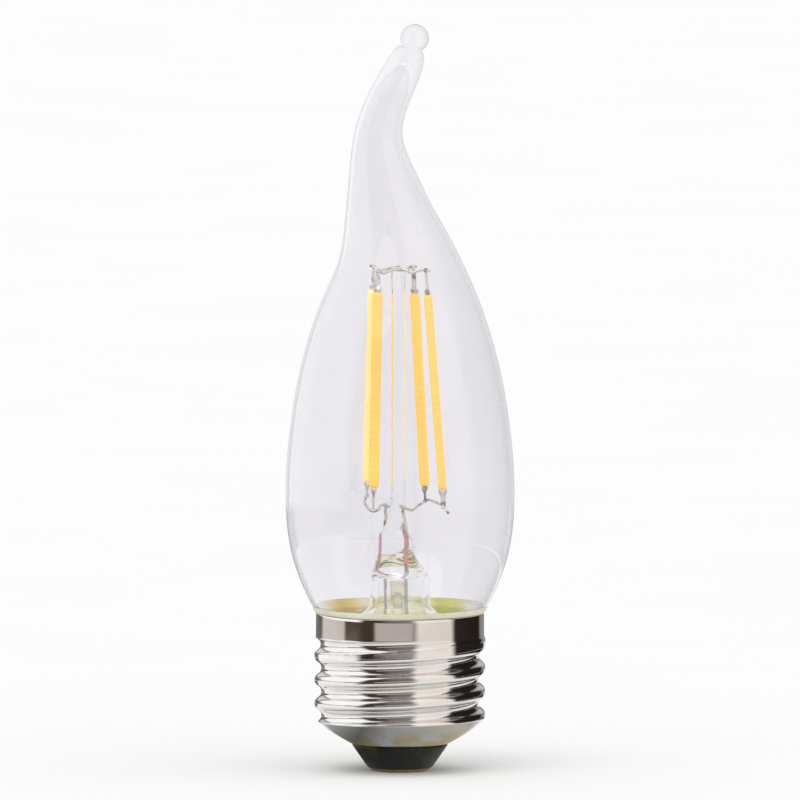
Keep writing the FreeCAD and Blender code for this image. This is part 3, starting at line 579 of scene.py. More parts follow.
# %% [markdown]
# ## The filaments
#
# Each is a straight bar, 1.7 mm wide and 1.2 mm thick, with silicone rounded over its
# ends. A box with bevelled edges would be too even. So it is drawn out as an oval along
# its middle line, and its width swells and shrinks by a few hundredths of a millimetre,
# because the silicone set in its own way.

# %% Four filament bars
HALF_THICK, HALF_WIDE, END_ROUND = 0.60, 0.84, 0.55
BAR_STEPS, UNEVEN = 75, 0.03
NOISE_APART, NOISE_LENGTH = 7.3, 9  # each bar reads its own line of noise, of this length
for place, (number, angle, _) in FILAMENTS.items():
    foot, head = filament_line(place)
    stand = Vector((0, 0, 1)).rotation_difference((head - foot).normalized()).to_matrix().to_4x4()
    stand = stand @ Matrix.Rotation(math.radians(angle), 4, "Z")
    rows = []
    for step in range(BAR_STEPS + 1):
        share = step / BAR_STEPS
        from_end = min(share, 1 - share) * FILAMENT_LENGTH
        shape = math.sqrt(max(POLE ** 2, 1 - (1 - min(1, from_end / END_ROUND)) ** 2))
        shape *= 1 + UNEVEN * noise.noise(Vector((number * NOISE_APART, 0, share * NOISE_LENGTH)))
        rows.append(Matrix.Translation(foot.lerp(head, share)) @ stand
                    @ Matrix.Diagonal((HALF_THICK * shape, HALF_WIDE * shape, 1, 1)))
    bar = bmesh.new()
    draw_out(bar, rows, sides=28)
    # The back-left bar gets a paler tone and a stronger glow than the other three.
    coat = pale_phosphor if place == "back_left" else phosphor
    finish_piece(bar, "filament_bar_%d" % number, coat, ["filament_%d" % number])

# %% [markdown]
# ## Nickel and lead wires
#
# Drawn nickel wire is a soft grey metal with very fine lines along it and a slight
# brown bloom where welding heated it. The lines are finer than the picture can show, so
# they are drawn 0.12 mm apart. The seal wire in the press is clad with copper oxide,
# which shows red through the glass and has no bare metal's shine. The leads below are
# tinned.

# %% Wire metals
DRAWN_LINES = (0.12, 1.0, (1, 1, 0.15))
nickel_wire = cloudy_finish(
    "Nickel wire, drawn", [(0.36, "#8F867E"), (0.47, "#D9D4CF"), (0.8, "#F0EDEA")],
    clouds=(1.1, 4.0), marks=DRAWN_LINES, depth_mm=0.02, strength=0.35, rough=(0.2, 0.45), Metallic=1.0)
seal_metal = cloudy_finish(
    "Copper-clad seal wire, borated", [(0.3, "#F8A6B0"), (0.6, "#FFBEC6"), (0.8, "#FFD4D8")],
    clouds=(0.9, 4.0), marks=DRAWN_LINES, depth_mm=0.02, strength=0.35, rough=(0.4, 0.65))
lead_metal = cloudy_finish(
    "Tinned copper lead", [(0.3, "#BDB2B3"), (0.6, "#D6CDCE"), (0.85, "#E2DBDC")],
    clouds=(1.5, 4.0), marks=DRAWN_LINES, depth_mm=0.02, strength=0.35, rough=(0.3, 0.55), Metallic=1.0)

# %% [markdown]
# ## The wires below the filaments
#
# One bent wire on each side runs from the lead to the feet of two filaments. Where a
# filament's pin meets it, the two are spot-welded, which leaves a small dark bead. A
# smooth curve would look drawn by a machine. So each bend is written down as the
# photograph shows it, by how far it lies from the lead's head or from a weld: none of
# these wires is straight for long.

# %% Lower cross wires
WIRE_RADIUS, CROSS = 0.22, 40.6
PIN_LOW = {"front_right": CROSS + 0.1, "back_right": CROSS + 0.2,
           "back_left": CROSS + 1.0, "front_left": CROSS - 0.1}
low_at = {place: on_filament(place, height) for place, height in PIN_LOW.items()}
HEADS = {"right": Vector((0.5, -1.35, CROSS)), "left": Vector((-2.2, 1.35, CROSS))}
BENDS = {  # what each bend is near, and how far from it
    "right": [
        ("head", -0.5, -0.7, 0.25), ("head", 0, 0, 0), ("head", 0.9, 1.0, -0.55), ("head", 1.5, 2.4, -0.75),
        ("back", -1.4, -2.2, -0.7), ("back", -0.5, -0.7, -0.3), ("back", 0, 0, 0),
        ("back", 0.55, -0.5, 0.25), ("back", 1.3, -2.6, 0.1), ("half-way", 0.7, -0.2, 0.1),
        ("front", 0.15, 1.5, 0.15), ("front", 0, 0, 0), ("front", 0.35, -0.5, -0.2),
        ("front", 0.7, -0.7, -0.9)],
    "left": [
        ("head", 0.6, 0.6, -0.3), ("head", 0, 0, 0), ("head", -0.2, -1.2, 0.2), ("head", -0.8, -3.2, 0.25),
        ("front", 0.9, 1.8, 0.1), ("front", 0.5, 0.5, -0.1), ("front", 0, 0, 0), ("front", -0.7, 0.3, 0.1),
        ("front", -1.0, 2.4, 0.4), ("half-way", -0.9, 0.3, 0.1), ("back", -0.2, -1.6, -0.2),
        ("back", 0, 0, 0), ("back", 0.25, 0.6, 0.2)]}
for side, bends in BENDS.items():
    front, back = low_at["front_" + side], low_at["back_" + side]
    marks = {"head": HEADS[side], "front": front, "back": back, "half-way": (front + back) / 2}
    cross = bmesh.new()
    bend_wire(cross, [marks[mark] + Vector(away) for mark, *away in bends], WIRE_RADIUS)
    for weld in (front, back):
        add_bead(cross, weld, 0.36, (1.15, 1.0, 0.8))
    add_bead(cross, HEADS[side], 0.4, (1, 1, 0.9))
    finish_piece(cross, "cross_wire_" + side, nickel_wire, ["lower_cross_wire_" + side])

# %% [markdown]
# ## The wires above the filaments
#
# Two bridge wires pass through the head of the glass rod, each from a left filament to
# a right one, and join the four in two pairs. They could be straight, but thin wire
# that was welded hot sags and springs back. So each is given as a few shares of the way
# to the rod and on from it, with the height that it gains or loses there.

# %% Upper bridge wires, through the head of the rod
BRIDGE = 76.8
LEFT_SAG = ((0.25, -0.45), (0.5, -0.15), (0.78, 0.2))  # share of the way to the rod, and lift
RIGHT_SAG = ((0.25, 0.15), (0.5, -0.5), (0.8, 0.05))
top_at = {place: on_filament(place, BRIDGE + 0.2) for place in FILAMENTS}
for name, aside in (("front", -0.5), ("back", 0.5)):
    start, end = top_at[name + "_left"], top_at[name + "_right"]
    middle = Vector((ROD_X, aside, BRIDGE))
    route = [start + (start - middle).normalized() * 0.8 + Vector((0, 0, 0.15)), start]
    route += [start.lerp(middle, share) + Vector((0, 0, lift)) for share, lift in LEFT_SAG] + [middle]
    route += [middle.lerp(end, share) + Vector((0, 0, lift)) for share, lift in RIGHT_SAG] + [end]
    route.append(end + (end - middle).normalized() * 0.75 + Vector((0, 0, -0.1)))
    bridge = bmesh.new()
    bend_wire(bridge, route, WIRE_RADIUS)
    for weld in (start, end):
        add_bead(bridge, weld, 0.38, (1, 1, 0.85))
    finish_piece(bridge, "bridge_wire_" + name, nickel_wire,
                 ["upper_bridge_wire_" + name])

# %% [markdown]
# ## Pins at the filaments' ends
#
# Each end of a filament is a flat metal tab, crimped on and narrowed to the wire that
# it is welded to. A bevelled box could stand for it, but would not narrow. A flattened
# ring drawn from end to end gives it soft edges and any width, and the crimp is the
# short wide part against the coat.

# %% Crimped pins
CRIMP = ((-0.25, 0.3, 0.55), (0.0, 0.42, 0.66), (0.3, 0.42, 0.68),  # place, half thickness, half width
         (0.55, 0.3, 0.6), (0.75, 0.16, 0.46))
for place, (number, angle, _) in FILAMENTS.items():
    foot, head = filament_line(place)
    for end, weld, name in ((foot, low_at[place], "lower_pin_%d"),
                            (head, top_at[place], "upper_pin_%d")):
        aim = (weld - end).normalized()
        stand = Vector((0, 0, 1)).rotation_difference(aim).to_matrix().to_4x4()
        stand = stand @ Matrix.Rotation(math.radians(angle if aim.z > 0 else -angle), 4, "Z")
        length = (weld - end).length
        tab = ((length * 0.5, 0.15, 0.42), (length - 0.6, 0.14, 0.36), (length - 0.2, 0.15, 0.3))
        rows = [Matrix.Translation(end + aim * along) @ stand @ Matrix.Diagonal((thick, wide, 1, 1))
                for along, thick, wide in CRIMP + tab]
        rows.append(rows[-1] @ Matrix.Translation((0, 0, 0.05)) @ Matrix.Diagonal((0.1, 0.1, 1, 1)))
        rows.insert(0, rows[0] @ Matrix.Translation((0, 0, -0.02)) @ Matrix.Diagonal((0.1, 0.1, 1, 1)))
        pin = bmesh.new()
        draw_out(pin, rows, sides=20)
        finish_piece(pin, "crimped_" + name % number, nickel_wire, [name % number])

# %% [markdown]
# ## Leads through the press
#
# Each lead is three wires in a row: nickel above the press, copper-clad in the glass so
# that the seal stays tight as it heats, and tinned copper below, down to the board. One
# long wire would be simpler, but its red middle is seen through the press. So the three
# are made one by one, and small beads stand where they are welded end to end.

# %% Leads
LEAD_RADIUS, SEAL_BEAD = 0.25, 0.31
PRESS_MIDDLE, LEAD_SPREAD, SEAL_LOW, SEAL_HIGH = Vector((-0.75, 0, 0)), 2.2, 31.7, 36.2
LEAD_BEND = 38.4  # height of the inner lead's bend
OUTER_BENDS = ((0.0, SEAL_LOW - 0.05), (0.03, 29.5), (-0.05, 26.5), (0.05, 24.0))  # aside, height
across_press = Vector((math.cos(math.radians(PRESS_TURN)), math.sin(math.radians(PRESS_TURN)), 0))
BOARD_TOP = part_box("driver_board")[1].z / MM
FEET = {"right": Vector((3.2, -4.0, BOARD_TOP)), "left": Vector((-4.0, 4.2, BOARD_TOP))}


def near(point, x, y, z):
    """A point a little way from another."""
    return point + Vector((x, y, z))


for side, spread in (("right", LEAD_SPREAD), ("left", -LEAD_SPREAD)):
    place = PRESS_MIDDLE + across_press * spread
    seal = bmesh.new()
    bend_wire(seal, [near(place, 0, 0, SEAL_LOW), near(place, 0.04, 0, (SEAL_LOW + SEAL_HIGH) / 2),
                     near(place, 0, 0, SEAL_HIGH)], LEAD_RADIUS)
    for height in (SEAL_LOW + 0.1, SEAL_HIGH - 0.1):
        add_bead(seal, near(place, 0, 0, height), SEAL_BEAD)
    finish_piece(seal, "seal_wire_in_press_" + side, seal_metal, ["seal_wire_" + side])
    inner = bmesh.new()
    head = near(HEADS[side], 0, 0, -0.3)
    bend = near(place.lerp(head, 0.5), 0.12, 0, 0)
    bend_wire(inner, [near(place, 0, 0, SEAL_HIGH + 0.05), near(place, 0.05, 0, SEAL_HIGH + 1.0),
                      Vector((bend.x, bend.y, LEAD_BEND)), near(head, 0, 0, -0.8), head], LEAD_RADIUS)
    finish_piece(inner, "lead_to_cross_wire_" + side, nickel_wire, ["inner_lead_" + side])
    outer = bmesh.new()
    foot = FEET[side]
    bend_wire(outer, [near(place, aside, 0, height) for aside, height in OUTER_BENDS] + [
        near(place.lerp(foot, 0.5), 0, 0, 12.5), near(foot, 0, 0, 3.0), near(foot, 0, 0, 0.05)],
        LEAD_RADIUS)
    finish_piece(outer, "lead_to_board_" + side, lead_metal, ["outer_lead_" + side])

# %% [markdown]
# ## Rolled nickel plate
#
# The shell is thin brass sheet, drawn to a cup, rolled with a thread and plated with
# bright nickel. Plating gives a clear mirror with a slightly warm grey. A perfect mirror
# would look like a drawing of one. Rolling leaves fine lines round the shell and soft
# dents in it. The lines are finer than the picture can show, so they are drawn a third
# of a millimetre apart. Handling leaves a haze that softens the mirror a little, so the
# roughness is low and uneven. Near the cone's foot the plating is thin and lets the
# brass tint it yellow in patches.

# %% Nickel plate, rolled
WORN_HEIGHT = (5.0, 7.6)  # millimetres: the plating is thin below the first and whole above the second
nickel_plate = new_material("Nickel-plated brass, drawn and rolled")
haze = grain(nickel_plate, 6.0, 5.0)
roll_marks = add_node(nickel_plate, "Bump", {
    "Height": grain(nickel_plate, 0.35, 2.0, (0.06, 0.06, 1)), "Strength": 0.4, "Distance": 0.0015 * MM})
soft_dents = add_node(nickel_plate, "Bump", {
    "Height": grain(nickel_plate, 3.0, 1.5), "Strength": 0.6, "Distance": 0.014 * MM,
    "Normal": roll_marks})
shell_axes = add_node(nickel_plate, "SeparateXYZ", {
    "Vector": add_node(nickel_plate, "TexCoord").outputs["Object"]})
near_foot = add_node(nickel_plate, "MapRange", {
    "Value": shell_axes.outputs["Z"], "From Min": WORN_HEIGHT[0] * MM, "From Max": WORN_HEIGHT[1] * MM,
    "To Min": 1.0, "To Max": 0.0})
rubbed = add_node(nickel_plate, "MapRange", {
    "Value": grain(nickel_plate, 4.5, 2.0), "From Min": 0.44, "From Max": 0.56})
worn = add_node(nickel_plate, "Math", {0: near_foot, 1: rubbed}, operation="MULTIPLY")
whole = add_node(nickel_plate, "ValToRGB", {"Fac": haze}, stops=[(0.3, "#EAE6E3"), (0.7, "#F4F2F0")])
show(nickel_plate, add_node(nickel_plate, "BsdfPrincipled", {
    "Base Color": add_node(nickel_plate, "Mix", {0: worn, 6: whole, 7: colour("#E2D28C")},
                           data_type="RGBA"),
    "Metallic": 1.0, "Normal": soft_dents,
    "Roughness": add_node(nickel_plate, "MapRange", {"Value": haze, "To Min": 0.05, "To Max": 0.14})}))

# %% [markdown]
# ## The blank of the screw shell
#
# Before it gets its thread, the shell is a drawn cup without a bottom: a cone, a
# straight wall and a plain collar that narrows a little, with a rolled rim. It could be
# two cylinders and a cone, but the bends between them show in the mirror. So one
# function gives the radius at every height, and the outline runs up on the outside,
# over the rim, down on the inside and round the lip in one closed line.

# %% Outline of the blank
CREST, SHEET = 13.1, 0.3
COLLAR, COLLAR_FOOT, RIM, COLLAR_TAPER = 12.9, 20.2, 24.3, 0.012
DRAW_BELOW, DRAW_OVER, TAPER_ABOVE = 0.2, 0.7, 0.5  # where the sheet draws in, about the collar's foot
LIP, LIP_HEIGHT, CONE_TOP, CONE_BULGE = 7.4, 4.1, 8.05, 0.09
FINE_FROM, FINE_TO, FINE_STEP, WIDE_STEP = 7.0, 22.6, 0.12, 0.35  # rings are closer in the thread


def blank_radius(height):
    """Outside of the blank before the thread is pressed."""
    if height < CONE_TOP:
        share = (height - LIP_HEIGHT) / (CONE_TOP - LIP_HEIGHT)
        return LIP + (CREST - LIP) * (share + CONE_BULGE * math.sin(math.pi * share))
    draw = min(1, max(0, (height - COLLAR_FOOT + DRAW_BELOW) / DRAW_OVER))
    narrowed = COLLAR_TAPER * max(0, height - COLLAR_FOOT - TAPER_ABOVE)
    return CREST - (CREST - COLLAR) * (0.5 - 0.5 * math.cos(math.pi * draw)) - narrowed


rings = [*np.arange(LIP_HEIGHT + 0.25, FINE_FROM, WIDE_STEP), *np.arange(FINE_FROM, FINE_TO, FINE_STEP),
         *np.arange(FINE_TO, RIM - 0.3, WIDE_STEP), RIM - 0.16]
outer_line = [(blank_radius(z), z) for z in rings]
rim_line = [(blank_radius(RIM) - inward, RIM - down)
            for inward, down in ((0.04, 0.05), (0.15, 0), (0.26, 0.05))]
inner_line = [(blank_radius(z) - SHEET, z) for z in reversed(rings)]
lip_line = [(LIP - 0.28, LIP_HEIGHT + 0.18), (LIP - 0.3, LIP_HEIGHT + 0.05), (LIP - 0.15, LIP_HEIGHT),
            (LIP + 0.12, LIP_HEIGHT + 0.06)]
print("rings on each side of the sheet:", len(rings))

# %% [markdown]
# ## The rolled thread
#
# On the real shell two rollers squeeze the sheet between them, so the wall stays as
# thick as it was and the groove shows inside too. The thread could be swept along a
# helix and joined on, but the joint would show. So it is pressed in as the roller does
# it: at each point of the sheet the distance to the groove's middle line gives how deep
# it is pushed. Root and crest are two arcs of equal radius that meet half-way up, and
# the groove fades out below the collar.

# %% Spin the blank and press the thread into it
PITCH, DEPTH = 3.629, 1.05
GROOVE_START, GROOVE_LEAD, TURNS, FADE, GROWTH = 6.64, -0.25, 3.45, 0.5, 2.1
PRESSED_FROM, PRESSED_TO = 5, 22.5  # the rollers reach no point outside these heights
BEND = ((PITCH / 2) ** 2 + DEPTH ** 2) / (4 * DEPTH)  # radius of the arcs at root and crest


def groove_radius(across):
    """Radius of the thread at a distance from the groove's middle, along the axis."""
    across = abs(across)
    if across >= PITCH / 2:
        return CREST
    if across > PITCH / 4:
        return CREST - BEND + math.sqrt(BEND ** 2 - (PITCH / 2 - across) ** 2)
    return CREST - DEPTH + BEND - math.sqrt(BEND ** 2 - across ** 2)


def press_thread(bm):
    """Push every point of the sheet in to the roller's groove."""
    for vert in bm.verts:
        radius, height = math.hypot(vert.co.x, vert.co.y), vert.co.z
        if not PRESSED_FROM < height < PRESSED_TO:
            continue
        inset = SHEET if radius < blank_radius(height) - SHEET / 2 else 0.0
        angle = math.atan2(vert.co.y, vert.co.x) / (2 * math.pi)
        pressed = radius + inset
        for whole_turns in range(-1, math.ceil(TURNS + FADE) + 1):
            passed = angle + whole_turns
            if GROOVE_LEAD <= passed <= TURNS + FADE:
                lift = GROWTH * max(0, passed - TURNS)
                pressed = min(pressed, groove_radius(height - GROOVE_START - PITCH * passed) + lift)
        vert.co.xy *= (pressed - inset) / radius


shell = bmesh.new()
turn_profile(shell, outer_line + rim_line + inner_line + lip_line, steps=176)
bmesh.ops.remove_doubles(shell, verts=shell.verts, dist=SEAM)
press_thread(shell)
finish_piece(shell, "threaded_shell", nickel_plate, ["screw_shell"])

# %% [markdown]
# ## The black foot of the cap
#
# Black glass is pressed into the shell's cone while hot and insulates the centre
# contact. It is nearly black with an olive tint, and a fire-polished surface with fine
# pits. It is round all over, so its profile is simply spun. Pits cut into the mesh would
# need very many faces, so they are left to the finish.

# %% Black glass insulator
black_glass = cloudy_finish(
    "Black insulator glass, pressed", [(0.3, "#0E0E06"), (0.55, "#16150C"), (0.75, "#332E0C")],
    clouds=(3.5, 3.0), marks=(0.5, 3.0), depth_mm=0.05, strength=0.35, rough=(0.3, 0.45), IOR=1.52)
foot = bmesh.new()
turn_profile(foot, [
    (1.34, 0.96), (4.66, 0.96), (4.66, 0.48), (4.7, 0.41), (4.8, 0.4), (4.93, 0.47), (5.15, 0.75),
    (5.9, 1.82), (6.6, 2.82), (7.2, 3.7), (7.32, 3.9), (7.3, 4.04), (7.16, 4.1), (7.08, 4.14),
    (7.3, 4.36), (9.1, 5.7), (9.12, 5.82), (9.0, 5.88), (6.1, 5.88), (5.9, 5.85), (1.4, 5.2),
    (1.34, 5.1)], steps=144)
finish_piece(foot, "insulator", black_glass, ["base_insulator"])

# %% [markdown]
# ## Contact and solder
#
# The centre contact is a stamped brass eyelet. Its hollow stalk goes up through the
# black glass, and its wire is soldered into it from below. Stamping leaves fine marks
# and a slight bloom on the brass. The solder sets with a dull, wrinkled skin, so its
# drop is spun and then pushed about a little by noise, as no two drops are alike.

# %% Stamped brass contact
brass = cloudy_finish(
    "Cartridge brass, stamped", [(0.3, "#B58A3A"), (0.6, "#D9B25A"), (0.8, "#E6C877")],
    clouds=(1.4, 4.0), marks=(0.2, 2.0), depth_mm=0.02, strength=0.4, rough=(0.2, 0.4), Metallic=1.0)
contact = bmesh.new()
turn_profile(contact, [
    (0.92, 0.5), (1.2, 0.26), (1.45, 0.07), (1.62, 0.0), (3.75, 0.0), (4.1, 0.04), (4.38, 0.16),
    (4.55, 0.33), (4.6, 0.5), (4.6, 0.86), (4.55, 0.9), (1.36, 0.9), (1.3, 0.96), (1.3, 2.94),
    (1.24, 3.0), (0.96, 3.0), (0.92, 2.95)], steps=112)
finish_piece(contact, "contact_eyelet", brass, ["center_contact"])

# %% Drop of solder
SKIN_TOP = 0.4  # only the skin below this height is wrinkled
WRINKLE, WRINKLES_PER_MM = 0.03, 2.1
solder = cloudy_finish(
    "Tin solder, set dull", [(0.3, "#8E9095"), (0.7, "#B9BBC0")],
    clouds=(0.45, 5.0), marks=(0.45, 5.0), depth_mm=0.06, strength=0.6, rough=(0.3, 0.5), Metallic=1.0)
drop = bmesh.new()
turn_profile(drop, [(0, 0.1), (0.4, 0.11), (0.8, 0.15), (1.15, 0.24), (1.3, 0.31), (1.2, 0.36),
                    (0.9, 0.55), (0.88, 0.8), (0.5, 0.84), (0, 0.86)], steps=64)
for vert in drop.verts:
    if vert.co.z < SKIN_TOP:
        vert.co.z += WRINKLE * noise.noise(vert.co * WRINKLES_PER_MM)
finish_piece(drop, "solder_drop", solder, ["contact_solder"])

# %% [markdown]
# ## Basing cement
#
# The shell is filled with a ring of cement paste round the glass neck and baked. It
# sets to a matt, pale yellow-green crust, browner where it was hottest and pitted where
# the solvent boiled off. It swells out a little over the shell's rim, where the glass
# widens. It also fills the neck up to the underside of the flare, so that a pale disc
# shows through the glass. One even colour would hide how it was baked, so its tone runs
# from side to side behind the axis and stays pale in front, with a ragged border.

# %% Tones of the cement
BAKED = [(0.03, "#F4EEBE"), (0.08, "#EAD44A"), (0.13, "#E0C004"), (0.2, "#ECCC06"), (0.27, "#F4EEBA"),
         (0.5, "#FDFCDE"), (0.66, "#F6F4C2"), (0.72, "#E4E24E"), (0.86, "#E6E45C"), (0.94, "#F3F2DA")]
PALE = [(0.35, "#DAD6BE"), (0.6, "#E6E3D0")]
SIDEWAYS, DRIFT = 12.5, 1.8  # the tones run over this much to each side, and wander by this much
FRONT, BACK = -4.0, 3.0  # from the first to the second the pale tone gives way to the baked one
cement = new_material("Basing cement, baked")
cement_axes = add_node(cement, "SeparateXYZ", {"Vector": add_node(cement, "TexCoord").outputs["Object"]})
wander = add_node(cement, "MapRange", {
    "Value": grain(cement, 3.0, 3.0), "To Min": -DRIFT * MM, "To Max": DRIFT * MM})
from_left = add_node(cement, "Math", {0: cement_axes.outputs["X"], 1: wander}, operation="ADD")
side_share = add_node(cement, "MapRange", {
    "Value": from_left, "From Min": -SIDEWAYS * MM, "From Max": SIDEWAYS * MM})
behind = add_node(cement, "MapRange", {
    "Value": cement_axes.outputs["Y"], "From Min": FRONT * MM, "From Max": BACK * MM})
show(cement, add_node(cement, "BsdfPrincipled", {
    "Base Color": add_node(cement, "Mix", {
        0: behind, 6: add_node(cement, "ValToRGB", {"Fac": grain(cement, 5.0, 3.0)}, stops=PALE),
        7: add_node(cement, "ValToRGB", {"Fac": side_share}, stops=BAKED)}, data_type="RGBA"),
    "Roughness": 0.9,
    "Normal": add_node(cement, "Bump", {
        "Height": grain(cement, 0.4, 4.0), "Strength": 0.8, "Distance": 0.15 * MM})}))

# %% Ring and disc of cement
GLASS_GAP, CEMENT_FOOT, CEMENT_TOP = 0.03, 21.3, 25.31
glass_side = [(RADII(z) + GLASS_GAP, z) for z in np.arange(CEMENT_FOOT, CEMENT_TOP, 0.2)]
ring = bmesh.new()
turn_profile(ring, glass_side + [
    (13.4, 25.2), (13.34, 24.95), (13.24, 24.65), (13.1, 24.47), (12.92, 24.37), (12.7, 24.34),
    (12.54, 24.25), (12.55, 23.4), (12.57, 22.4), (12.58, CEMENT_FOOT)], steps=144)
turn_profile(ring, [(0, 21.4), (9.7, 21.4), (9.9, 21.6), (9.95, 22.2), (9.8, 22.55), (9.0, 22.8),
                    (6.5, 22.85), (3.0, 22.7), (0, 22.65)], steps=144)
finish_piece(ring, "cement_ring", cement, ["basing_cement"])

# %% [markdown]
# ## Parts on the driver board
#
# The board and its parts sit inside the metal cap, where only a cut would show them.
# They could be drawn anew, but the solids already have their true shapes. So the solids
# stay and only get their finishes: solder mask over glass fibre, shrunk sleeve, moulded
# epoxy, flameproof lacquer and tinned wire.

# %% Finishes of the hidden parts
COATS = {  # name, two tones, roughness, size of the clouds and depth of the marks in millimetres
    "driver_board": ("Solder mask over glass fibre", "#14532A", "#1D6B38", 0.35, 2.0, 0.01),
    "smoothing_capacitor": ("Polyester sleeve, shrunk", "#1B1C2A", "#262838", 0.3, 3.0, 0.01),
    "bridge_rectifier": ("Epoxy, moulded", "#1A1A1A", "#262626", 0.6, 0.8, 0.02),
    "driver_chip": ("Epoxy, moulded matt", "#1C1C1D", "#2A2A2B", 0.65, 0.8, 0.02),
    "fusible_resistor": ("Flameproof lacquer", "#55655A", "#6B7B6E", 0.5, 1.0, 0.02)}
coats = {"shell_wire": lead_metal, "contact_wire": lead_metal}
for node, (name, dark, light, rough, spot, depth) in COATS.items():
    coats[node] = cloudy_finish(
        name, [(0.3, dark), (0.7, light)],
        clouds=(spot, 3.0), marks=(spot / 6, 3.0), depth_mm=depth, strength=0.5, rough=rough)
for node, coat in coats.items():
    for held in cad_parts[node].material_slots:
        held.material = coat

# %% [markdown]
# ## The floor
#
# The bulb stands on a plain white floor that fills the picture and holds its soft
# shadow. Pure white paint would throw too much light back up into the glass, and any
# shine would mirror the bulb. So it is a matt paint, a shade under white.

# %% White floor
FLOOR_HALF = 6.0  # metres
floor_paint = new_material("Studio floor, matt white")
dust = add_node(floor_paint, "ValToRGB", {"Fac": grain(floor_paint, 40, 2.0)},
                stops=[(0.3, "#FCFCFC"), (0.7, "#FDFDFD")])
show(floor_paint, add_node(floor_paint, "BsdfPrincipled", {
    "Base Color": dust, "Roughness": 0.9, "Specular IOR Level": 0.0}))
ground = bmesh.new()
bmesh.ops.create_grid(ground, x_segments=4, y_segments=4, size=FLOOR_HALF)
floor = make_object(ground, "floor", floor_paint)

# %% [markdown]
# ## What the metal mirrors
#
# Bare metal shows only what is round it, and in a white room it would be white. In a
# studio, cards stand about a bright part: bright, dark, grey and warm. Each could be a
# sheet of its own, but a wall right round the bulb is simpler: one ring whose tones go
# by direction, in four rows, one above the other. Only mirror-like surfaces see it. It
# gives no light to anything matt, the camera does not see it, and only the first few
# bounces of light do, so that light lost in the glass never ends on a dark card.

# %% Tones of the cards, by direction
CARD_BOUNCES = 4.5
CARDS = {  # direction in degrees from the camera's side towards +X, and screen colour
    "low": [(-180, "#6E6A66"), (-142, "#6E6A66"), (-136, "#FFFFFF"), (-60, "#FFFFFF"), (-50, "#2A231F"),
            (-26, "#332B26"), (-16, "#5E5A56"), (14, "#7A7672"), (24, "#F2EEEA"), (70, "#F0EBE6"),
            (78, "#1E1814"), (146, "#231E1A"), (154, "#EDEDEF"), (180, "#C8C8CA")],
    "band": [(-180, "#8E8A88"), (-132, "#5E5854"), (-124, "#CFC8C4"), (-80, "#C4BBB6"), (-76, "#4A3B33"),
             (-35, "#3F312A"), (-31, "#B9AFAC"), (14, "#B6ACA9"), (18, "#8F8784"), (25, "#E2DCD8"),
             (71, "#DED6D0"), (77, "#2B2420"), (132, "#221C18"), (140, "#8A8684"), (180, "#8E8A88")],
    "high": [(-180, "#DCDCE0"), (-153, "#D2D2D4"), (-146, "#77736F"), (-136, "#FFFFFF"),
             (-58, "#FFFFFF"), (-48, "#3A322D"), (-26, "#3A322D"), (-16, "#625D59"), (14, "#7A7672"),
             (24, "#F0EAE5"), (70, "#EEE7E1"), (78, "#1E1814"), (140, "#231E1A"), (154, "#BCBCC0"),
             (180, "#B8B8BE")],
    "top": [(-180, "#D4D4D8"), (-158, "#D8D8DC"), (-136, "#F4F4F4"), (-50, "#FFFFFF"), (-40, "#6E6965"),
            (14, "#85817D"), (26, "#FAF6F2"), (72, "#F6F1EC"), (86, "#B0ABA6"), (134, "#B0ADAA"),
            (158, "#C0C0C4"), (180, "#BEBEC4")]}
ROW_STARTS = (("band", 8.8, 0.4), ("high", 28.0, 2.0), ("top", 150.0, 30.0))  # height, half its fade, mm


def way_round(material):
    """Direction on a card, from 0 at the back through the left, the front and the right to 1."""
    axes = add_node(material, "SeparateXYZ", {"Vector": add_node(material, "TexCoord").outputs["Object"]})
    front = add_node(material, "Math", {0: axes.outputs["Y"], 1: -1.0}, operation="MULTIPLY")
    angle = add_node(material, "Math", {0: axes.outputs["X"], 1: front}, operation="ARCTAN2")
    share = add_node(material, "MapRange", {"Value": angle, "From Min": -math.pi, "From Max": math.pi})
    return share, axes


def card_tones(material, share, row):
    """The tones of one row of cards, by direction."""
    stops = [((angle + 180) / 360, code) for angle, code in CARDS[row]]
    return add_node(material, "ValToRGB", {"Fac": share}, stops=stops)


def show_card(material, tone, strength):
    """A card glows in its tone, and only the first few bounces see it."""
    late = add_node(material, "Math", {
        0: add_node(material, "LightPath").outputs["Ray Depth"], 1: CARD_BOUNCES},
        operation="GREATER_THAN")
    glow = add_node(material, "Emission", {"Color": tone, "Strength": strength})
    clear = add_node(material, "BsdfTransparent")
    show(material, add_node(material, "MixShader", {0: late, 1: glow, 2: clear}))
    material.cycles.emission_sampling = "NONE"


# %% Ring of cards
CARD_RADIUS, CARD_FOOT, CARD_TOP = 120.0, 2.0, 502.0  # millimetres
card_light = new_material("Studio cards, seen in reflections only")
ring_share, ring_axes = way_round(card_light)
tone = card_tones(card_light, ring_share, "low")
for row, height, soft in ROW_STARTS:
    above = add_node(card_light, "MapRange", {
        "Value": ring_axes.outputs["Z"], "From Min": (height - soft) * MM,
        "From Max": (height + soft) * MM})
    tone = add_node(card_light, "Mix", {
        0: above, 6: tone, 7: card_tones(card_light, ring_share, row)}, data_type="RGBA")
show_card(card_light, tone, strength=1.08)
wall = bmesh.new()
bmesh.ops.create_cone(wall, cap_ends=False, segments=96, radius1=CARD_RADIUS * MM,
                      radius2=CARD_RADIUS * MM, depth=(CARD_TOP - CARD_FOOT) * MM,
                      matrix=Matrix.Translation((0, 0, (CARD_TOP + CARD_FOOT) / 2 * MM)))
card_ring = make_object(wall, "reflection_cards", card_light)

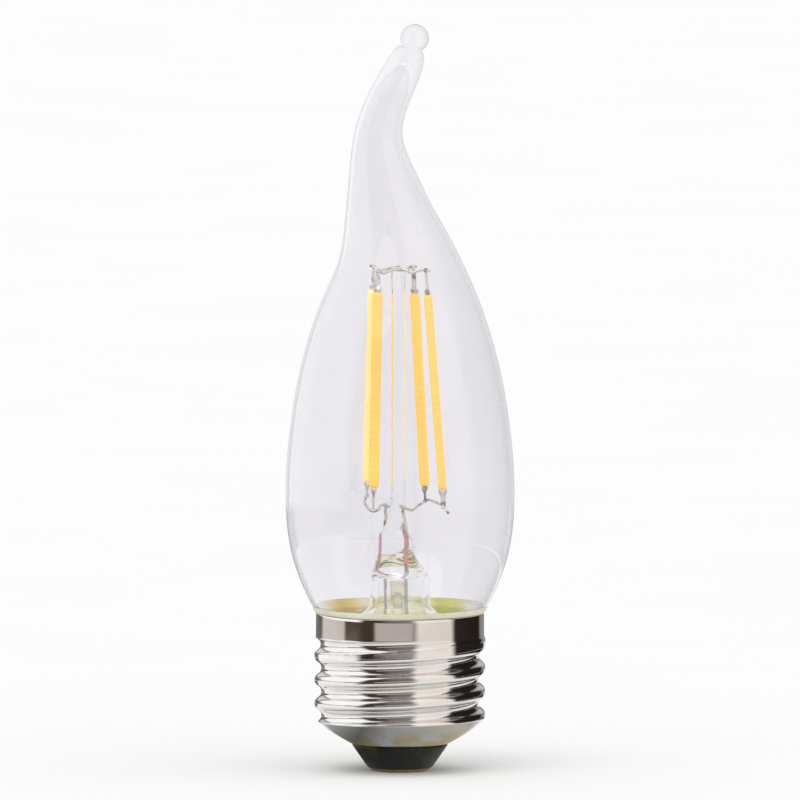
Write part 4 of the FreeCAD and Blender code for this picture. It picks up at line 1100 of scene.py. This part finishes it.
# %% [markdown]
# ## The card under the bulb
#
# The lower half of each thread and the cone look down, so they mirror what lies under
# the bulb. One grey would make them flat. So a round card lies there: darker and toned
# from side to side close by, which is painted shade for the floor that the bulb shades,
# white further out, and then as the low row of the ring, which it meets.

# %% Card under the bulb
FOOT_CARD_RADIUS, FOOT_CARD_HEIGHT = 119.5, 0.3  # millimetres
NEAR_HALF = 30.0  # the near tones of painted shade run over this much to each side
# Painted shade: the dark near tones stand for the floor shaded by the bulb, as the cone and lower threads
# mirror it.
PAINTED_SHADE_NEAR_TONES = [(0.0, "#D4D4D6"), (0.22, "#A2A4A8"), (0.36, "#5E6064"), (0.46, "#909296"),
              (0.6, "#A4A4A2"), (0.72, "#B4B2AA"), (0.85, "#8E8A7C"), (1.0, "#77756F")]
foot_light = new_material("Studio card under the bulb, seen in reflections only")
foot_share, foot_axes = way_round(foot_light)
away = add_node(foot_light, "VectorMath", {
    0: add_node(foot_light, "TexCoord").outputs["Object"]}, operation="LENGTH")
sideways = add_node(foot_light, "MapRange", {
    "Value": foot_axes.outputs["X"], "From Min": -NEAR_HALF * MM, "From Max": NEAR_HALF * MM})
tone = add_node(foot_light, "ValToRGB", {"Fac": sideways}, stops=PAINTED_SHADE_NEAR_TONES)
for nearest, farthest, next_tone in ((16, 28, colour("#F2F2F2")),
                                     (38, 52, card_tones(foot_light, foot_share, "low"))):
    change = add_node(foot_light, "MapRange", {
        "Value": away, "From Min": nearest * MM, "From Max": farthest * MM})
    tone = add_node(foot_light, "Mix", {0: change, 6: tone, 7: next_tone}, data_type="RGBA")
show_card(foot_light, tone, strength=1.0)
foot_card = bmesh.new()
bmesh.ops.create_circle(foot_card, cap_ends=True, segments=64, radius=FOOT_CARD_RADIUS * MM,
                        matrix=Matrix.Translation((0, 0, FOOT_CARD_HEIGHT * MM)))
foot_ring = make_object(foot_card, "reflection_card_at_foot", foot_light)
for card in (card_ring, foot_ring):
    for kind in ("camera", "diffuse", "transmission", "shadow", "volume_scatter"):
        setattr(card, "visible_" + kind, False)

# %% [markdown]
# ## Two soft suns
#
# A studio lights such a part with large soft boxes, so its shadow has no edge. Area
# lamps could do that, but their light falls off with distance. A sun with a wide disc
# gives the same soft shadow and lights every place alike, at a plain level at which a
# colour shows as it is written.

# %% Soft suns
SUNS = [  # name, strength in W/m2, width of the light in degrees, turn about Z, tip from straight down
    ("key", 0.68, 50, -35, 38), ("fill", 0.42, 70, 60, 45)]
for name, strength, width, turned, tipped in SUNS:
    lamp = bpy.data.lights.new(name, "SUN")
    lamp.energy = strength
    lamp.angle = math.radians(width)
    sun = bpy.data.objects.new(name, lamp)
    sun.rotation_euler = (math.radians(tipped), 0, math.radians(turned))
    bpy.context.scene.collection.objects.link(sun)
    print("%s sun: %.2f W/m2, %d degrees wide" % (name, strength, width))

# %% [markdown]
# ## White surroundings
#
# The photograph's background is pure white. A world of strength 1 is white, but it would
# also light the bulb too strongly. So the full strength is only for what is seen: by
# the camera, in a mirror or through glass. Matt surfaces get three quarters of it.

# %% White surroundings
MATT_SHARE = 0.74
world = bpy.data.worlds.new("studio")
bpy.context.scene.world = world
world.use_nodes = True
world.node_tree.nodes.clear()
path = add_node(world, "LightPath")
seen = path.outputs["Is Camera Ray"]
for way in ("Is Glossy Ray", "Is Transmission Ray"):
    seen = add_node(world, "Math", {0: seen, 1: path.outputs[way]}, operation="MAXIMUM")
strength = add_node(world, "MapRange", {"Value": seen, "To Min": MATT_SHARE, "To Max": 1.0})
background = add_node(world, "Background", {"Color": colour("#FFFFFF"), "Strength": strength})
add_node(world, "OutputWorld", {"Surface": background})
print("world: 1.0 where it is seen, %.2f where it lights" % MATT_SHARE)

# %% [markdown]
# ## The camera
#
# A very long lens from four and a half metres away, a little above the bulb and looking
# slightly down, as the ellipses of the collar and of the glass foot show. A short lens
# close by would make those ellipses differ more from top to bottom. Light may turn many
# times on its way, because up to a dozen glass surfaces stand one behind another.

# %% Camera and how far light is followed
LENS, SENSOR, FAR = 1323.0, 36.0, 50.0  # millimetres, millimetres, metres
EYE, AIM = Vector((0, -4.4802, 0.4781)), Vector((0, 0, 0.0569))  # metres
camera = bpy.data.objects.new("camera", bpy.data.cameras.new("camera"))
camera.data.lens = LENS
camera.data.sensor_width = SENSOR
camera.data.clip_end = FAR
camera.location = EYE
camera.rotation_euler = (AIM - EYE).to_track_quat("-Z", "Y").to_euler()
bpy.context.scene.collection.objects.link(camera)
bpy.context.scene.camera = camera
bpy.context.scene.view_settings.view_transform = "Standard"
for limit, bounces in (("max_bounces", 24), ("transmission_bounces", 24), ("glossy_bounces", 12),
                       ("transparent_max_bounces", 64)):
    setattr(bpy.context.scene.cycles, limit, bounces)
print("camera: %.2f m from the bulb, %.0f mm lens" % ((AIM - EYE).length, LENS))
